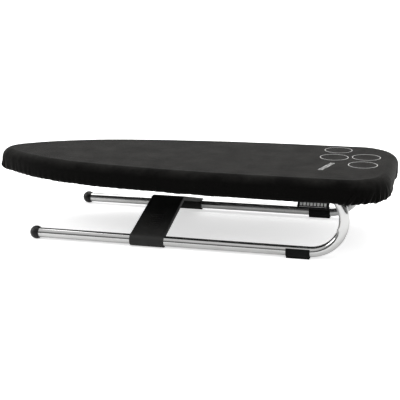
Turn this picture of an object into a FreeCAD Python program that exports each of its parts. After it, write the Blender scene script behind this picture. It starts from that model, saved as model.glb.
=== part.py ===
"""Table-top ironing board: a padded steel tray carried by two cantilevered C tubes.

Frame: origin on the table under the middle of the board, +X towards the square tail,
+Y across the board, +Z up. Millimetres.
"""
import FreeCAD, Part
import math
import os
import re

import Sketcher
from FreeCAD import Vector

# alias: (value, what it is)
SIZES = {
    "board_length": (750, "nose tip to tail, over the cover"),
    "board_width": (300, "widest part, over the cover"),
    "board_height": (142, "table to ironing surface"),
    "taper_length": (543, "nose tip to the start of the parallel sides"),
    "nose_radius": (44, "arc at the tip of the nose"),
    "nose_angle": (51.6, "half of the nose arc, degrees"),
    "shoulder_gap": (20.3, "board side to the crest of the arc behind the nose"),
    "corner_radius": (71, "tail corners"),
    "skirt_depth": (40, "height of the cover's sides"),
    "cover_sheet": (1, "cover cloth thickness"),
    "cover_crown": (15, "rounding of the cover's top edge"),
    "cover_edge": (8, "rounding of the cover's hem edge"),
    "felt_thick": (4, "felt pad thickness"),
    "felt_edge": (3.8, "rounding of the felt's top edge"),
    "tray_sheet": (1, "tray sheet thickness"),
    "tray_gap": (0.6, "cover's inner face to the tray's flange"),
    "flange_drop": (2, "start of the hem's rounding to the flange's lower edge"),
    "steam_hole": (12, "steam hole diameter"),
    "steam_pitch": (50, "steam hole spacing along the board"),
    "steam_columns": (11, "steam holes in a row"),
    "steam_row_pitch": (42, "spacing of the steam hole rows"),
    "steam_rows": (5, "rows of steam holes"),
    "steam_setback": (165, "nose tip to the first steam holes"),
    "hem_gap": (0.2, "cover edge to the hem band"),
    "hem_thick": (1.4, "elastic hem band thickness"),
    "hem_height": (5, "elastic hem band width, standing on edge"),
    "stringer_setback": (42, "stringer end to nose tip, and to tail"),
    "stringer_depth": (8, "stringer channel depth"),
    "stringer_channel": (20, "stringer channel width"),
    "stringer_flange": (10, "stringer flange width"),
    "brace_sheet": (1.2, "stringer and brace sheet thickness"),
    "brace_depth": (16, "brace web depth"),
    "brace_flange": (14, "brace top flange width"),
    "brace_end_gap": (18, "brace end to the tube axis, across the board"),
    "brace_notch_gap": (0.3, "clearance of the notch round the stringer"),
    "front_brace_setback": (310, "nose tip to the front brace"),
    "rear_brace_setback": (44, "tail to the rear brace's web"),
    "tube_diameter": (18, "outside diameter of the leg tubes"),
    "tube_wall": (1.5, "leg tube wall"),
    "tube_gap": (0.4, "hem band to the leg tubes"),
    "tip_setback": (120, "nose tip to the ball caps' centres"),
    "bend_setback": (128.4, "tail to the centre of the tube bends"),
    "upper_end_setback": (400, "nose tip to the upper ends of the tubes"),
    "cap_rim": (6, "ball centre to the rim of its skirt"),
    "cap_bore": (10, "depth of the cap's socket"),
    "fit": (0.1, "radial clearance of moulded parts on the tube"),
    "plug_head": (3, "end plug head thickness"),
    "plug_stem": (12, "end plug stem length"),
    "plug_edge": (1, "end plug rim chamfer"),
    "foot_length": (41, "foot pad length along the tube"),
    "foot_setback": (147.5, "tail to the middle of the foot pads"),
    "foot_wall": (2.9, "foot pad wall"),
    "foot_base": (14, "width of the foot pad's flat sole"),
    "foot_shoulder": (7, "height of the sole block"),
    "foot_grip": (37, "foot pad lip above the tube's middle, degrees"),
    "foot_edge": (0.8, "foot pad end rounding"),
    "crossbar_width": (62, "crossbar size along the board"),
    "crossbar_setback": (333, "nose tip to the middle of the crossbar"),
    "crossbar_slope": (15.8, "rise of the crossbar's arms, degrees"),
    "crossbar_lift": (0.5, "table to the crossbar's rings"),
    "crossbar_plate": (3, "crossbar plate thickness"),
    "crossbar_rib": (8, "depth of the ribs along its two edges"),
    "crossbar_crown": (16, "radius of the crossbar's crown"),
    "crossbar_edge": (1, "rounding of the crossbar's long edges"),
    "mouth_width": (5, "snap mouth of the crossbar's tube rings"),
    "mouth_inset": (3.5, "tube axis to the near side of the mouth"),
    "ridge_count": (7, "raised ridges on the near crossbar arm"),
    "ridge_pitch": (7, "ridge spacing up the arm"),
    "ridge_start": (26, "tube axis to the first ridge, up the arm"),
    "ridge_long": (26, "ridge size along the board"),
    "ridge_broad": (2.6, "ridge size up the arm"),
    "ridge_rise": (0.7, "ridge height"),
    "clamp_width": (20, "clamp size along the tube"),
    "clamp_sheet": (1.5, "clamp strap thickness"),
    "clamp_ear": (15, "clamp ear width"),
    "clamp_end_gap": (30, "clamp middle to the end of the straight run"),
    "rivet_diameter": (4.8, "rivet shank"),
    "rivet_gap": (0.1, "radial clearance of the rivet holes"),
    "rivet_head": (8.5, "rivet head diameter"),
    "rivet_head_thick": (1.3, "rivet head thickness"),
    "label_thick": (0.6, "tag and saddle thickness"),
    "label_gap": (0.05, "adhesive under the label's saddle"),
    "label_span": (100, "wrap of the label's saddle round the tube, degrees"),
    "label_length": (63, "label length along the tube"),
    "label_setback": (160.5, "tail to the middle of the label"),
    "label_height": (17, "height of the tag that stands up from the saddle"),
}

# places and sizes that several pieces share, as formulas of the sheet's values
TRAY_TOP = "(board_height - cover_sheet - felt_thick)"
TRAY_UNDER = f"({TRAY_TOP} - tray_sheet)"
TRAY_DEPTH = "(skirt_depth - cover_sheet - felt_thick - cover_edge + flange_drop)"
TRAY_BEND = "(cover_crown - cover_sheet - felt_thick)"
SHOULDER_RADIUS = ("((board_width / 2 - shoulder_gap - nose_radius * sin(nose_angle))"
                   " / (1 - sin(nose_angle)))")
TUBE_BORE = "(tube_diameter / 2 + fit)"
LOWER_AXIS = f"({TUBE_BORE} + foot_wall)"
UPPER_AXIS = f"({TRAY_UNDER} - tube_diameter / 2)"
BEND_RADIUS = f"(({UPPER_AXIS} - {LOWER_AXIS}) / 2)"
BEND_X = "(board_length / 2 - bend_setback)"
UPPER_END_X = "(upper_end_setback - board_length / 2)"
TIP_X = "(tip_setback - board_length / 2)"
TUBE_START_X = f"({TIP_X} - cap_bore + cap_rim)"
HEM_INSET = "(cover_edge + hem_gap)"
TUBE_Y = f"(board_width / 2 - {HEM_INSET} - hem_thick - tube_gap - tube_diameter / 2)"
RING_RADIUS = f"({LOWER_AXIS} - crossbar_lift)"
CLEAR = f"(2 * {LOWER_AXIS})"
CLAMP_HALF = f"({TUBE_BORE} + clamp_sheet)"
RIVET_INSET = f"({CLAMP_HALF} + clamp_ear / 2)"
CLAMP_X = {"front": f"({UPPER_END_X} + clamp_end_gap)", "rear": f"({BEND_X} - clamp_end_gap)"}
SIDES = {"near": -1, "far": 1}
ORIGIN = (-1, 1)
X_AXIS = -1

doc = FreeCAD.newDocument("ironing_board")
sheet = doc.addObject("Spreadsheet::Sheet", "Sizes")


def fill_sheet():
    """Write each size, its alias and its meaning to a row of the sheet."""
    for row, (name, (number, meaning)) in enumerate(SIZES.items(), start=1):
        sheet.set(f"A{row}", name)
        sheet.set(f"B{row}", str(number))
        sheet.set(f"C{row}", meaning)
        sheet.setAlias(f"B{row}", name)
    doc.recompute()


def sized(formula):
    """The formula with each size's name turned into a reference to its cell."""
    return re.sub(r"[a-z]\w*", lambda word: f"Sizes.{word[0]}" if word[0] in SIZES else word[0], formula)


def value(formula):
    """What a formula comes to now."""
    return float(sheet.evalExpression(sized(formula)))


def bind(thing, **formulas):
    """Tie properties of an object to formulas of the sheet's values."""
    for name, formula in formulas.items():
        thing.setExpression(name, sized(formula))


def place(thing, x="0", y="0", z="0"):
    """Tie an object's place to formulas."""
    for axis, formula in zip("xyz", (x, y, z)):
        thing.setExpression(f"Placement.Base.{axis}", sized(formula))


# ---------------------------------------------------------------- sketches

def new_body(label):
    body = doc.addObject("PartDesign::Body", label)
    body.Label = label
    return body


def new_sketch(body, plane, x="0", y="0", z="0", turn="0"):
    """A sketch on one of the body's own origin planes, moved and turned within it."""
    sketch = body.newObject("Sketcher::SketchObject", f"{body.Label}_sketch")
    role = f"{plane}_Plane"
    sketch.AttachmentSupport = [(next(f for f in body.Origin.OriginFeatures if f.Role == role), "")]
    sketch.MapMode = "FlatFace"
    sketch.AttachmentOffset = FreeCAD.Placement(Vector(), FreeCAD.Rotation(Vector(0, 0, 1), 1))
    for axis, formula in zip("xyz", (x, y, z)):
        sketch.setExpression(f"AttachmentOffset.Base.{axis}", sized(formula))
    sketch.setExpression("AttachmentOffset.Rotation.Angle", sized(turn))
    return sketch


def dimension(sketch, kind, *where, formula):
    """A dimension that follows a formula."""
    index = sketch.addConstraint(Sketcher.Constraint(kind, *where, value(formula)))
    sketch.setExpression(f"Constraints[{index}]", sized(formula))


def pin_point(sketch, geometry, point, x, y):
    """Hold one point of a sketch at two formulas."""
    dimension(sketch, "DistanceX", *ORIGIN, geometry, point, formula=x)
    dimension(sketch, "DistanceY", *ORIGIN, geometry, point, formula=y)


def polygon(sketch, corners):
    """A closed polygon, each corner a pair of formulas."""
    points = [Vector(value(x), value(y), 0) for x, y in corners]
    first = sketch.GeometryCount
    for start, end in zip(points, points[1:] + points[:1]):
        sketch.addGeometry(Part.LineSegment(start, end))
    for step, (x, y) in enumerate(corners):
        before = first + (step - 1) % len(corners)
        sketch.addConstraint(Sketcher.Constraint("Coincident", before, 2, first + step, 1))
        pin_point(sketch, first + step, 1, x, y)


def rectangle(sketch, x, y):
    """A rectangle between two pairs of formulas."""
    polygon(sketch, [(x[0], y[0]), (x[1], y[0]), (x[1], y[1]), (x[0], y[1])])


def circle(sketch, x, y, radius):
    """A circle with its centre and radius given by formulas."""
    index = sketch.addGeometry(Part.Circle(Vector(value(x), value(y), 0), Vector(0, 0, 1), value(radius)))
    pin_point(sketch, index, 3, x, y)
    dimension(sketch, "Radius", index, formula=radius)


def arc(sketch, centre, radius, start, end):
    """An arc drawn anticlockwise between two angles in degrees, still free to move."""
    ring = Part.Circle(Vector(*centre, 0), Vector(0, 0, 1), radius)
    return sketch.addGeometry(Part.ArcOfCircle(ring, math.radians(start), math.radians(end)))


def line(sketch, start, end):
    """A line between two points, still free to move."""
    return sketch.addGeometry(Part.LineSegment(Vector(*start, 0), Vector(*end, 0)))


def join_tangent(sketch, joints):
    """Join pairs of ends smoothly: geometry, end, geometry, end."""
    for joint in joints:
        sketch.addConstraint(Sketcher.Constraint("Tangent", *joint))


def outline(sketch, inset):
    """The board's plan, a given distance inside its edge, as tangent arcs and lines."""
    gap, half = value(inset), value("board_width / 2")
    tip, tail = value("-board_length / 2"), value("board_length / 2")
    nose, shoulder, corner = value("nose_radius"), value(SHOULDER_RADIUS), value("corner_radius")
    opening = math.radians(value("nose_angle"))
    side_x = tip + value("taper_length")
    shoulder_x = tip + nose + (shoulder - nose) * math.cos(opening)
    shoulder_y = -(shoulder - nose) * math.sin(opening)
    along, across = side_x - shoulder_x, half - shoulder_y
    flank = (along ** 2 + across ** 2 - shoulder ** 2) / (2 * (across - shoulder))
    flank_y = half - flank
    meet = 180 - math.degrees(math.atan2(shoulder_y - flank_y, side_x - shoulder_x))
    leave = 180 - math.degrees(opening)
    corner_x, corner_y = tail - corner, half - corner

    arc(sketch, (tip + nose, 0), nose - gap, leave, 360 - leave)
    arc(sketch, (shoulder_x, shoulder_y), shoulder - gap, meet, leave)
    arc(sketch, (side_x, flank_y), flank - gap, 90, meet)
    line(sketch, (side_x, half - gap), (corner_x, half - gap))
    arc(sketch, (corner_x, corner_y), corner - gap, 0, 90)
    line(sketch, (tail - gap, -corner_y), (tail - gap, corner_y))
    arc(sketch, (corner_x, -corner_y), corner - gap, 270, 360)
    line(sketch, (side_x, gap - half), (corner_x, gap - half))
    arc(sketch, (side_x, -flank_y), flank - gap, 360 - meet, 270)
    arc(sketch, (shoulder_x, -shoulder_y), shoulder - gap, 360 - leave, 360 - meet)
    return ("nose", "far_shoulder", "far_flank", "far_side", "far_corner",
            "tail", "near_corner", "near_side", "near_flank", "near_shoulder")


def board_outline(sketch, inset):
    """Draw the plan and tie it to the sheet. The flank's radius follows from the rest."""
    first = sketch.GeometryCount
    part = {name: first + step for step, name in enumerate(outline(sketch, inset))}
    join_tangent(sketch, [
        (part["nose"], 1, part["far_shoulder"], 2), (part["far_shoulder"], 1, part["far_flank"], 2),
        (part["far_flank"], 1, part["far_side"], 1), (part["far_side"], 2, part["far_corner"], 2),
        (part["far_corner"], 1, part["tail"], 2), (part["tail"], 1, part["near_corner"], 2),
        (part["near_corner"], 1, part["near_side"], 2), (part["near_side"], 1, part["near_flank"], 2),
        (part["near_flank"], 1, part["near_shoulder"], 2), (part["near_shoulder"], 1, part["nose"], 2)])
    sketch.addConstraint(Sketcher.Constraint("PointOnObject", part["nose"], 3, X_AXIS))
    dimension(sketch, "DistanceX", *ORIGIN, part["nose"], 3, formula="nose_radius - board_length / 2")
    dimension(sketch, "Radius", part["nose"], formula=f"nose_radius - ({inset})")
    for end in (1, 2):
        dimension(sketch, "DistanceX", *ORIGIN, part["nose"], end,
                  formula=f"nose_radius - board_length / 2 - (nose_radius - ({inset})) * cos(nose_angle)")
    sketch.addConstraint(Sketcher.Constraint("Vertical", part["tail"]))
    dimension(sketch, "DistanceX", *ORIGIN, part["tail"], 1, formula=f"board_length / 2 - ({inset})")
    for side, sign in SIDES.items():
        dimension(sketch, "Radius", part[f"{side}_shoulder"], formula=f"{SHOULDER_RADIUS} - ({inset})")
        dimension(sketch, "Radius", part[f"{side}_corner"], formula=f"corner_radius - ({inset})")
        sketch.addConstraint(Sketcher.Constraint("Horizontal", part[f"{side}_side"]))
        pin_point(sketch, part[f"{side}_side"], 1, "taper_length - board_length / 2",
                  f"{sign} * (board_width / 2 - ({inset}))")


# ---------------------------------------------------------------- features

def pad(body, sketch, length, middle=False):
    feature = body.newObject("PartDesign::Pad", f"{body.Label}_pad")
    feature.Profile = sketch
    feature.SideType = "Symmetric" if middle else "One side"
    bind(feature, Length=length)
    return feature


def cut(body, sketch, length, middle=False, upwards=True):
    """A pocket whose direction is set, and which has to take material away."""
    doc.recompute()
    before = body.Shape.Volume
    feature = body.newObject("PartDesign::Pocket", f"{body.Label}_pocket")
    feature.Profile = sketch
    feature.SideType = "Symmetric" if middle else "One side"
    feature.Reversed = upwards and not middle
    bind(feature, Length=length)
    doc.recompute()
    if not body.Shape.Volume < before:
        raise RuntimeError(f"{feature.Label} removes nothing")
    return feature


def spin(body, sketch, angle="360", middle=False):
    """Revolve a sketch about its own horizontal axis."""
    feature = body.newObject("PartDesign::Revolution", f"{body.Label}_revolution")
    feature.Profile = sketch
    feature.ReferenceAxis = (sketch, ["H_Axis"])
    feature.Midplane = middle
    bind(feature, Angle=angle)
    return feature


def round_edges(body, base, radius, wanted):
    """Fillet the edges of a feature that a test picks."""
    doc.recompute()
    names = [f"Edge{count}" for count, edge in enumerate(base.Shape.Edges, start=1) if wanted(edge)]
    feature = body.newObject("PartDesign::Fillet", f"{body.Label}_fillet")
    feature.Base = (base, names)
    bind(feature, Radius=radius)
    return feature


def flat_at(shape_part, height):
    """Whether an edge or a face lies in the plane of a height."""
    box = shape_part.BoundBox
    return max(abs(box.ZMin - height), abs(box.ZMax - height)) < Part.Precision.confusion() * 10


def hollow(body, base, wall):
    """Thin a solid to a shell inwards, open at its bottom face."""
    doc.recompute()
    bottom = [f"Face{count}" for count, face in enumerate(base.Shape.Faces, start=1) if flat_at(face, 0)]
    feature = body.newObject("PartDesign::Thickness", f"{body.Label}_shell")
    feature.Base = (base, bottom)
    feature.Reversed = True
    bind(feature, Value=wall)
    return feature


# ---------------------------------------------------------------- board

def rounded_block(label, inset, height, sheet):
    """A block of the board's plan, its bottom and top edges rounded as the cover's less a sheet."""
    body = new_body(label)
    sketch = new_sketch(body, "XY")
    board_outline(sketch, inset)
    block = pad(body, sketch, height)
    block = round_edges(body, block, f"cover_edge - {sheet}", lambda edge: flat_at(edge, 0))
    round_edges(body, block, f"cover_crown - {sheet}", lambda edge: flat_at(edge, value(height)))
    return body


def make_cover():
    """Cloth cover: top, deep sides, and a lower edge that turns in under the board."""
    outside = rounded_block("cover_outside", "0", "skirt_depth", "0")
    place(outside, z="board_height - skirt_depth")
    inside = rounded_block("cover_inside", "cover_sheet", "skirt_depth - 2 * cover_sheet", "cover_sheet")
    place(inside, z="board_height - skirt_depth + cover_sheet")
    opening = new_sketch(inside, "XY", z="-2 * cover_sheet")
    board_outline(opening, "cover_edge")
    pad(inside, opening, "skirt_depth / 2")
    cover = doc.addObject("Part::Cut", "cover")
    cover.Base, cover.Tool = outside, inside
    return cover


def make_hem_band():
    """Elastic band inside the cover's turned edge, outside the tubes."""
    body = new_body("hem_elastic")
    place(body, z="board_height - skirt_depth")
    sketch = new_sketch(body, "XY")
    board_outline(sketch, HEM_INSET)
    board_outline(sketch, f"{HEM_INSET} + hem_thick")
    pad(body, sketch, "hem_height")
    return body


def make_felt():
    body = new_body("felt_pad")
    place(body, z=TRAY_TOP)
    sketch = new_sketch(body, "XY")
    board_outline(sketch, "cover_crown - felt_edge")
    block = pad(body, sketch, "felt_thick")
    round_edges(body, block, "felt_edge", lambda edge: flat_at(edge, value("felt_thick")))
    return body


def make_tray():
    """Pressed tray with a deep flange, steam holes and the clamps' rivet holes."""
    body = new_body("tray")
    place(body, z=f"{TRAY_TOP} - {TRAY_DEPTH}")
    sketch = new_sketch(body, "XY")
    board_outline(sketch, "cover_sheet + tray_gap")
    block = pad(body, sketch, TRAY_DEPTH)
    rounded = round_edges(body, block, TRAY_BEND, lambda edge: flat_at(edge, value(TRAY_DEPTH)))
    hollow(body, rounded, "tray_sheet")

    rivets = new_sketch(body, "XY")
    for x in CLAMP_X.values():
        for side in SIDES.values():
            circle(rivets, x, f"{side} * ({TUBE_Y} - {RIVET_INSET})", "rivet_diameter / 2 + rivet_gap")
    cut(body, rivets, TRAY_DEPTH)

    steam = new_sketch(body, "XY")
    circle(steam, "steam_setback - board_length / 2", "-(steam_rows - 1) / 2 * steam_row_pitch",
           "steam_hole / 2")
    hole = cut(body, steam, TRAY_DEPTH)
    pattern = body.newObject("PartDesign::LinearPattern", "tray_steam_holes")
    pattern.Originals = [hole]
    pattern.Direction, pattern.Direction2 = (steam, ["H_Axis"]), (steam, ["V_Axis"])
    bind(pattern, Length="(steam_columns - 1) * steam_pitch", Occurrences="steam_columns",
         Length2="(steam_rows - 1) * steam_row_pitch", Occurrences2="steam_rows")
    body.Tip = pattern
    return body


def make_stringer():
    """Hat-section channel along the middle of the tray, its flanges against the tray."""
    body = new_body("centre_stringer")
    place(body, x="stringer_setback - board_length / 2", z=TRAY_UNDER)
    half = "stringer_channel / 2"
    flange = f"{half} + stringer_flange"
    sketch = new_sketch(body, "YZ")
    polygon(sketch, [
        (f"-({flange})", "0"), (f"-({flange})", "-brace_sheet"), (f"-({half})", "-brace_sheet"),
        (f"-({half})", "-stringer_depth"), (half, "-stringer_depth"), (half, "-brace_sheet"),
        (flange, "-brace_sheet"), (flange, "0"), (f"{half} - brace_sheet", "0"),
        (f"{half} - brace_sheet", "brace_sheet - stringer_depth"),
        (f"brace_sheet - {half}", "brace_sheet - stringer_depth"), (f"brace_sheet - {half}", "0")])
    pad(body, sketch, "board_length - 2 * stringer_setback")
    return body


def make_brace(label, x):
    """Angle across the tray, notched where it passes under the stringer."""
    body = new_body(label)
    place(body, x=x, z=TRAY_UNDER)
    profile = new_sketch(body, "XZ")
    polygon(profile, [("0", "0"), ("0", "-brace_depth"), ("brace_sheet", "-brace_depth"),
                      ("brace_sheet", "-brace_sheet"), ("brace_flange", "-brace_sheet"), ("brace_flange", "0")])
    pad(body, profile, f"2 * ({TUBE_Y} - brace_end_gap)", middle=True)
    notch = new_sketch(body, "YZ")
    half = "(stringer_channel / 2 + stringer_flange + brace_notch_gap)"
    rectangle(notch, (f"-{half}", half), ("-stringer_depth - brace_notch_gap", "0"))
    cut(body, notch, "brace_flange")
    return body


# ---------------------------------------------------------------- base

def make_leg_tube(side, sign):
    """C tube: lower run on the table, half-circle bend at the tail, upper run under the tray."""
    body = new_body(f"{side}_leg_tube")
    place(body, x=TUBE_START_X, y=f"{sign} * {TUBE_Y}", z=LOWER_AXIS)
    run, rise = f"({BEND_X} - {TUBE_START_X})", f"(2 * {BEND_RADIUS})"
    upper = f"({UPPER_END_X} - {TUBE_START_X})"
    path = new_sketch(body, "XZ")
    centre = (value(run), value(BEND_RADIUS))
    lower_run = line(path, (0, 0), (centre[0], 0))
    bend = arc(path, centre, centre[1], 270, 450)
    upper_run = line(path, (centre[0], 2 * centre[1]), (value(upper), 2 * centre[1]))
    join_tangent(path, [(lower_run, 2, bend, 1), (bend, 2, upper_run, 1)])
    path.addConstraint(Sketcher.Constraint("Horizontal", lower_run))
    path.addConstraint(Sketcher.Constraint("Coincident", lower_run, 1, *ORIGIN))
    dimension(path, "DistanceX", *ORIGIN, lower_run, 2, formula=run)
    pin_point(path, upper_run, 2, upper, rise)
    ring = new_sketch(body, "YZ")
    circle(ring, "0", "0", "tube_diameter / 2")
    circle(ring, "0", "0", "tube_diameter / 2 - tube_wall")
    tube = body.newObject("PartDesign::AdditivePipe", f"{side}_leg_tube_pipe")
    tube.Profile = ring
    tube.Spine = (path, ["Edge1", "Edge2", "Edge3"])
    return body


def make_ball_cap(side, sign):
    """Ball pushed over the free end of the lower run."""
    body = new_body(f"{side}_ball_cap")
    place(body, x=TIP_X, y=f"{sign} * {TUBE_Y}", z=LOWER_AXIS)
    sketch = new_sketch(body, "XZ")
    radius, rim = value(LOWER_AXIS), value("cap_rim")
    bore, floor = value(TUBE_BORE), rim - value("cap_bore")
    shell = arc(sketch, (0, 0), radius, math.degrees(math.acos(rim / radius)), 180)
    rim_height = math.sqrt(radius ** 2 - rim ** 2)
    corners = [(-radius, 0), (floor, 0), (floor, bore), (rim, bore), (rim, rim_height)]
    lines = [line(sketch, start, end) for start, end in zip(corners, corners[1:])]
    for before, after in zip(lines, lines[1:]):
        sketch.addConstraint(Sketcher.Constraint("Coincident", before, 2, after, 1))
    sketch.addConstraint(Sketcher.Constraint("Coincident", shell, 2, lines[0], 1))
    sketch.addConstraint(Sketcher.Constraint("Coincident", lines[-1], 2, shell, 1))
    sketch.addConstraint(Sketcher.Constraint("Coincident", shell, 3, *ORIGIN))
    sketch.addConstraint(Sketcher.Constraint("PointOnObject", lines[0], 1, X_AXIS))
    dimension(sketch, "Radius", shell, formula=LOWER_AXIS)
    pin_point(sketch, lines[1], 1, "cap_rim - cap_bore", "0")
    pin_point(sketch, lines[2], 1, "cap_rim - cap_bore", TUBE_BORE)
    pin_point(sketch, lines[3], 1, "cap_rim", TUBE_BORE)
    sketch.addConstraint(Sketcher.Constraint("Vertical", lines[3]))
    spin(body, sketch)
    return body


def make_end_plug(side, sign):
    """Plug in the upper end of the tube."""
    body = new_body(f"{side}_end_plug")
    place(body, x=UPPER_END_X, y=f"{sign} * {TUBE_Y}", z=UPPER_AXIS)
    sketch = new_sketch(body, "XZ")
    head, stem = "tube_diameter / 2", "tube_diameter / 2 - tube_wall - fit"
    polygon(sketch, [("-plug_head", "0"), ("-plug_head", f"{head} - plug_edge"),
                     ("plug_edge - plug_head", head), ("0", head), ("0", stem),
                     ("plug_stem", stem), ("plug_stem", "0")])
    spin(body, sketch)
    return body


def make_foot_pad(side, sign):
    """C-shaped pad snapped over the tube from below, with a flat sole."""
    body = new_body(f"{side}_foot_pad")
    place(body, x="board_length / 2 - foot_setback", y=f"{sign} * {TUBE_Y}", z=LOWER_AXIS)
    barrel = new_sketch(body, "YZ")
    circle(barrel, "0", "0", LOWER_AXIS)
    pad(body, barrel, "foot_length", middle=True)
    sole = new_sketch(body, "YZ")
    rectangle(sole, ("-foot_base / 2", "foot_base / 2"), (f"-{LOWER_AXIS}", f"foot_shoulder - {LOWER_AXIS}"))
    pad(body, sole, "foot_length", middle=True)
    bore = new_sketch(body, "YZ")
    circle(bore, "0", "0", TUBE_BORE)
    cut(body, bore, "2 * foot_length", middle=True)
    mouth = new_sketch(body, "YZ")
    rectangle(mouth, (f"-{CLEAR}", CLEAR), (f"{TUBE_BORE} * sin(foot_grip)", CLEAR))
    base = cut(body, mouth, "2 * foot_length", middle=True)
    half = value("foot_length / 2")
    round_edges(body, base, "foot_edge", lambda edge: abs(abs(edge.CenterOfMass.x) - half) < 0.01
                and edge.BoundBox.ZMin < value("-foot_wall"))
    return body


def roof(sketch, top, bottom):
    """The band between two depths below the crossbar's outer face, crown included."""
    slope = math.radians(value("crossbar_slope"))
    ends = []
    for depth in (top, bottom):
        radius, crown = value(f"{RING_RADIUS} - ({depth})"), value(f"crossbar_crown - ({depth})")
        foot = (value(TUBE_Y) + radius * math.sin(slope), radius * math.cos(slope))
        peak = foot[1] + foot[0] * math.tan(slope) - crown / math.cos(slope)
        touch = (crown * math.sin(slope), peak + crown * math.cos(slope))
        far_arm = line(sketch, foot, touch)
        arch = arc(sketch, (0, peak), crown, 90 - math.degrees(slope), 90 + math.degrees(slope))
        near_arm = line(sketch, (-touch[0], touch[1]), (-foot[0], foot[1]))
        join_tangent(sketch, [(far_arm, 2, arch, 1), (arch, 2, near_arm, 1)])
        out = f"({TUBE_Y} + ({RING_RADIUS} - ({depth})) * sin(crossbar_slope))"
        high = f"({RING_RADIUS} - ({depth})) * cos(crossbar_slope)"
        pin_point(sketch, far_arm, 1, out, high)
        pin_point(sketch, near_arm, 2, f"-{out}", high)
        dimension(sketch, "Radius", arch, formula=f"crossbar_crown - ({depth})")
        dimension(sketch, "DistanceY", near_arm, 2, arch, 2,
                  formula=f"({out} - (crossbar_crown - ({depth})) * sin(crossbar_slope)) * tan(crossbar_slope)")
        ends.append((far_arm, near_arm, foot))
    (far_top, near_top, top_foot), (far_low, near_low, low_foot) = ends
    for arm, end, low_arm, sign in ((far_top, 1, far_low, 1), (near_top, 2, near_low, -1)):
        close = line(sketch, (sign * top_foot[0], top_foot[1]), (sign * low_foot[0], low_foot[1]))
        sketch.addConstraint(Sketcher.Constraint("Coincident", close, 1, arm, end))
        sketch.addConstraint(Sketcher.Constraint("Coincident", close, 2, low_arm, end))


def make_crossbar():
    """Moulded arch that ties the two lower runs: a ribbed plate ending in a ring on each tube."""
    body = new_body("crossbar")
    place(body, x="crossbar_setback - board_length / 2", z=LOWER_AXIS)
    plate = new_sketch(body, "YZ")
    roof(plate, "0", "crossbar_rib")
    slab = pad(body, plate, "crossbar_width", middle=True)
    half = value("crossbar_width / 2")
    ridge_line = value(f"{RING_RADIUS} * cos(crossbar_slope)")
    slab = round_edges(body, slab, "crossbar_edge", lambda edge: abs(abs(edge.CenterOfMass.x) - half) < 0.01
                       and edge.Length > half and edge.BoundBox.ZMin > ridge_line - 0.01)
    inside = new_sketch(body, "YZ")
    roof(inside, "crossbar_plate", "crossbar_rib + crossbar_plate")
    cut(body, inside, "crossbar_width - 2 * crossbar_plate", middle=True)
    rings, bores, mouths = (new_sketch(body, "YZ") for step in range(3))
    for sign in SIDES.values():
        circle(rings, f"{sign} * {TUBE_Y}", "0", RING_RADIUS)
        circle(bores, f"{sign} * {TUBE_Y}", "0", TUBE_BORE)
        edges = f"{sign} * ({TUBE_Y} - mouth_inset)", f"{sign} * ({TUBE_Y} - mouth_inset - mouth_width)"
        rectangle(mouths, edges, (f"-{CLEAR}", "-tube_diameter / 4"))
    pad(body, rings, "crossbar_width", middle=True)
    cut(body, bores, "2 * crossbar_width", middle=True)
    cut(body, mouths, "2 * crossbar_width", middle=True)
    add_ridges(body)
    return body


def add_ridges(body):
    """A row of plain raised ridges up the near arm."""
    sketch = new_sketch(body, "YZ", x=f"-{TUBE_Y}", turn="crossbar_slope")
    rectangle(sketch, ("ridge_start", "ridge_start + ridge_broad"),
              (f"{RING_RADIUS} - crossbar_plate / 2", f"{RING_RADIUS} + ridge_rise"))
    ridge = pad(body, sketch, "ridge_long", middle=True)
    row = body.newObject("PartDesign::LinearPattern", "crossbar_ridges")
    row.Originals = [ridge]
    row.Direction = (sketch, ["H_Axis"])
    bind(row, Length="(ridge_count - 1) * ridge_pitch", Occurrences="ridge_count")
    body.Tip = row


def make_clamp(label, x, sign):
    """Hook that holds an upper run up against the tray, riveted through its inner ear."""
    body = new_body(label)
    place(body, x=x, y=f"{sign} * {TUBE_Y}", z=UPPER_AXIS)
    top, inner = "tube_diameter / 2", f"-({sign})"
    hook, cheek, ear = (new_sketch(body, "YZ") for step in range(3))
    circle(hook, "0", "0", CLAMP_HALF)
    rectangle(cheek, ("0", f"{inner} * {CLAMP_HALF}"), ("0", top))
    rectangle(ear, ("0", f"{inner} * ({CLAMP_HALF} + clamp_ear)"), (f"{top} - clamp_sheet", top))
    for sketch in (hook, cheek, ear):
        pad(body, sketch, "clamp_width", middle=True)
    bore, mouth, hole = (new_sketch(body, plane) for plane in ("YZ", "YZ", "XY"))
    circle(bore, "0", "0", TUBE_BORE)
    rectangle(mouth, (f"{inner} * {TUBE_BORE}", f"-({inner}) * {CLEAR}"), ("0", f"2 * {top}"))
    for sketch in (bore, mouth):
        cut(body, sketch, "2 * clamp_width", middle=True)
    circle(hole, "0", f"{inner} * {RIVET_INSET}", "rivet_diameter / 2 + rivet_gap")
    cut(body, hole, "tube_diameter")
    return body


def make_rivets():
    """One rivet through each clamp's ear and the tray, as a group."""
    rivets = []
    for end, x in CLAMP_X.items():
        for side, sign in SIDES.items():
            y = f"{sign} * ({TUBE_Y} - {RIVET_INSET})"
            shank = doc.addObject("Part::Cylinder", f"{side}_{end}_shank")
            bind(shank, Radius="rivet_diameter / 2", Height="clamp_sheet + tray_sheet + rivet_head_thick")
            head = doc.addObject("Part::Cylinder", f"{side}_{end}_head")
            bind(head, Radius="rivet_head / 2", Height="rivet_head_thick")
            for piece in (shank, head):
                place(piece, x, y, f"{TRAY_UNDER} - clamp_sheet - rivet_head_thick")
            rivet = doc.addObject("Part::Fuse", f"{side}_{end}_rivet")
            rivet.Base, rivet.Tool = shank, head
            rivets.append(rivet)
    group = doc.addObject("Part::Compound", "clamp_rivets")
    group.Label = "clamp_rivets"
    group.Links = rivets
    return group


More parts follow.
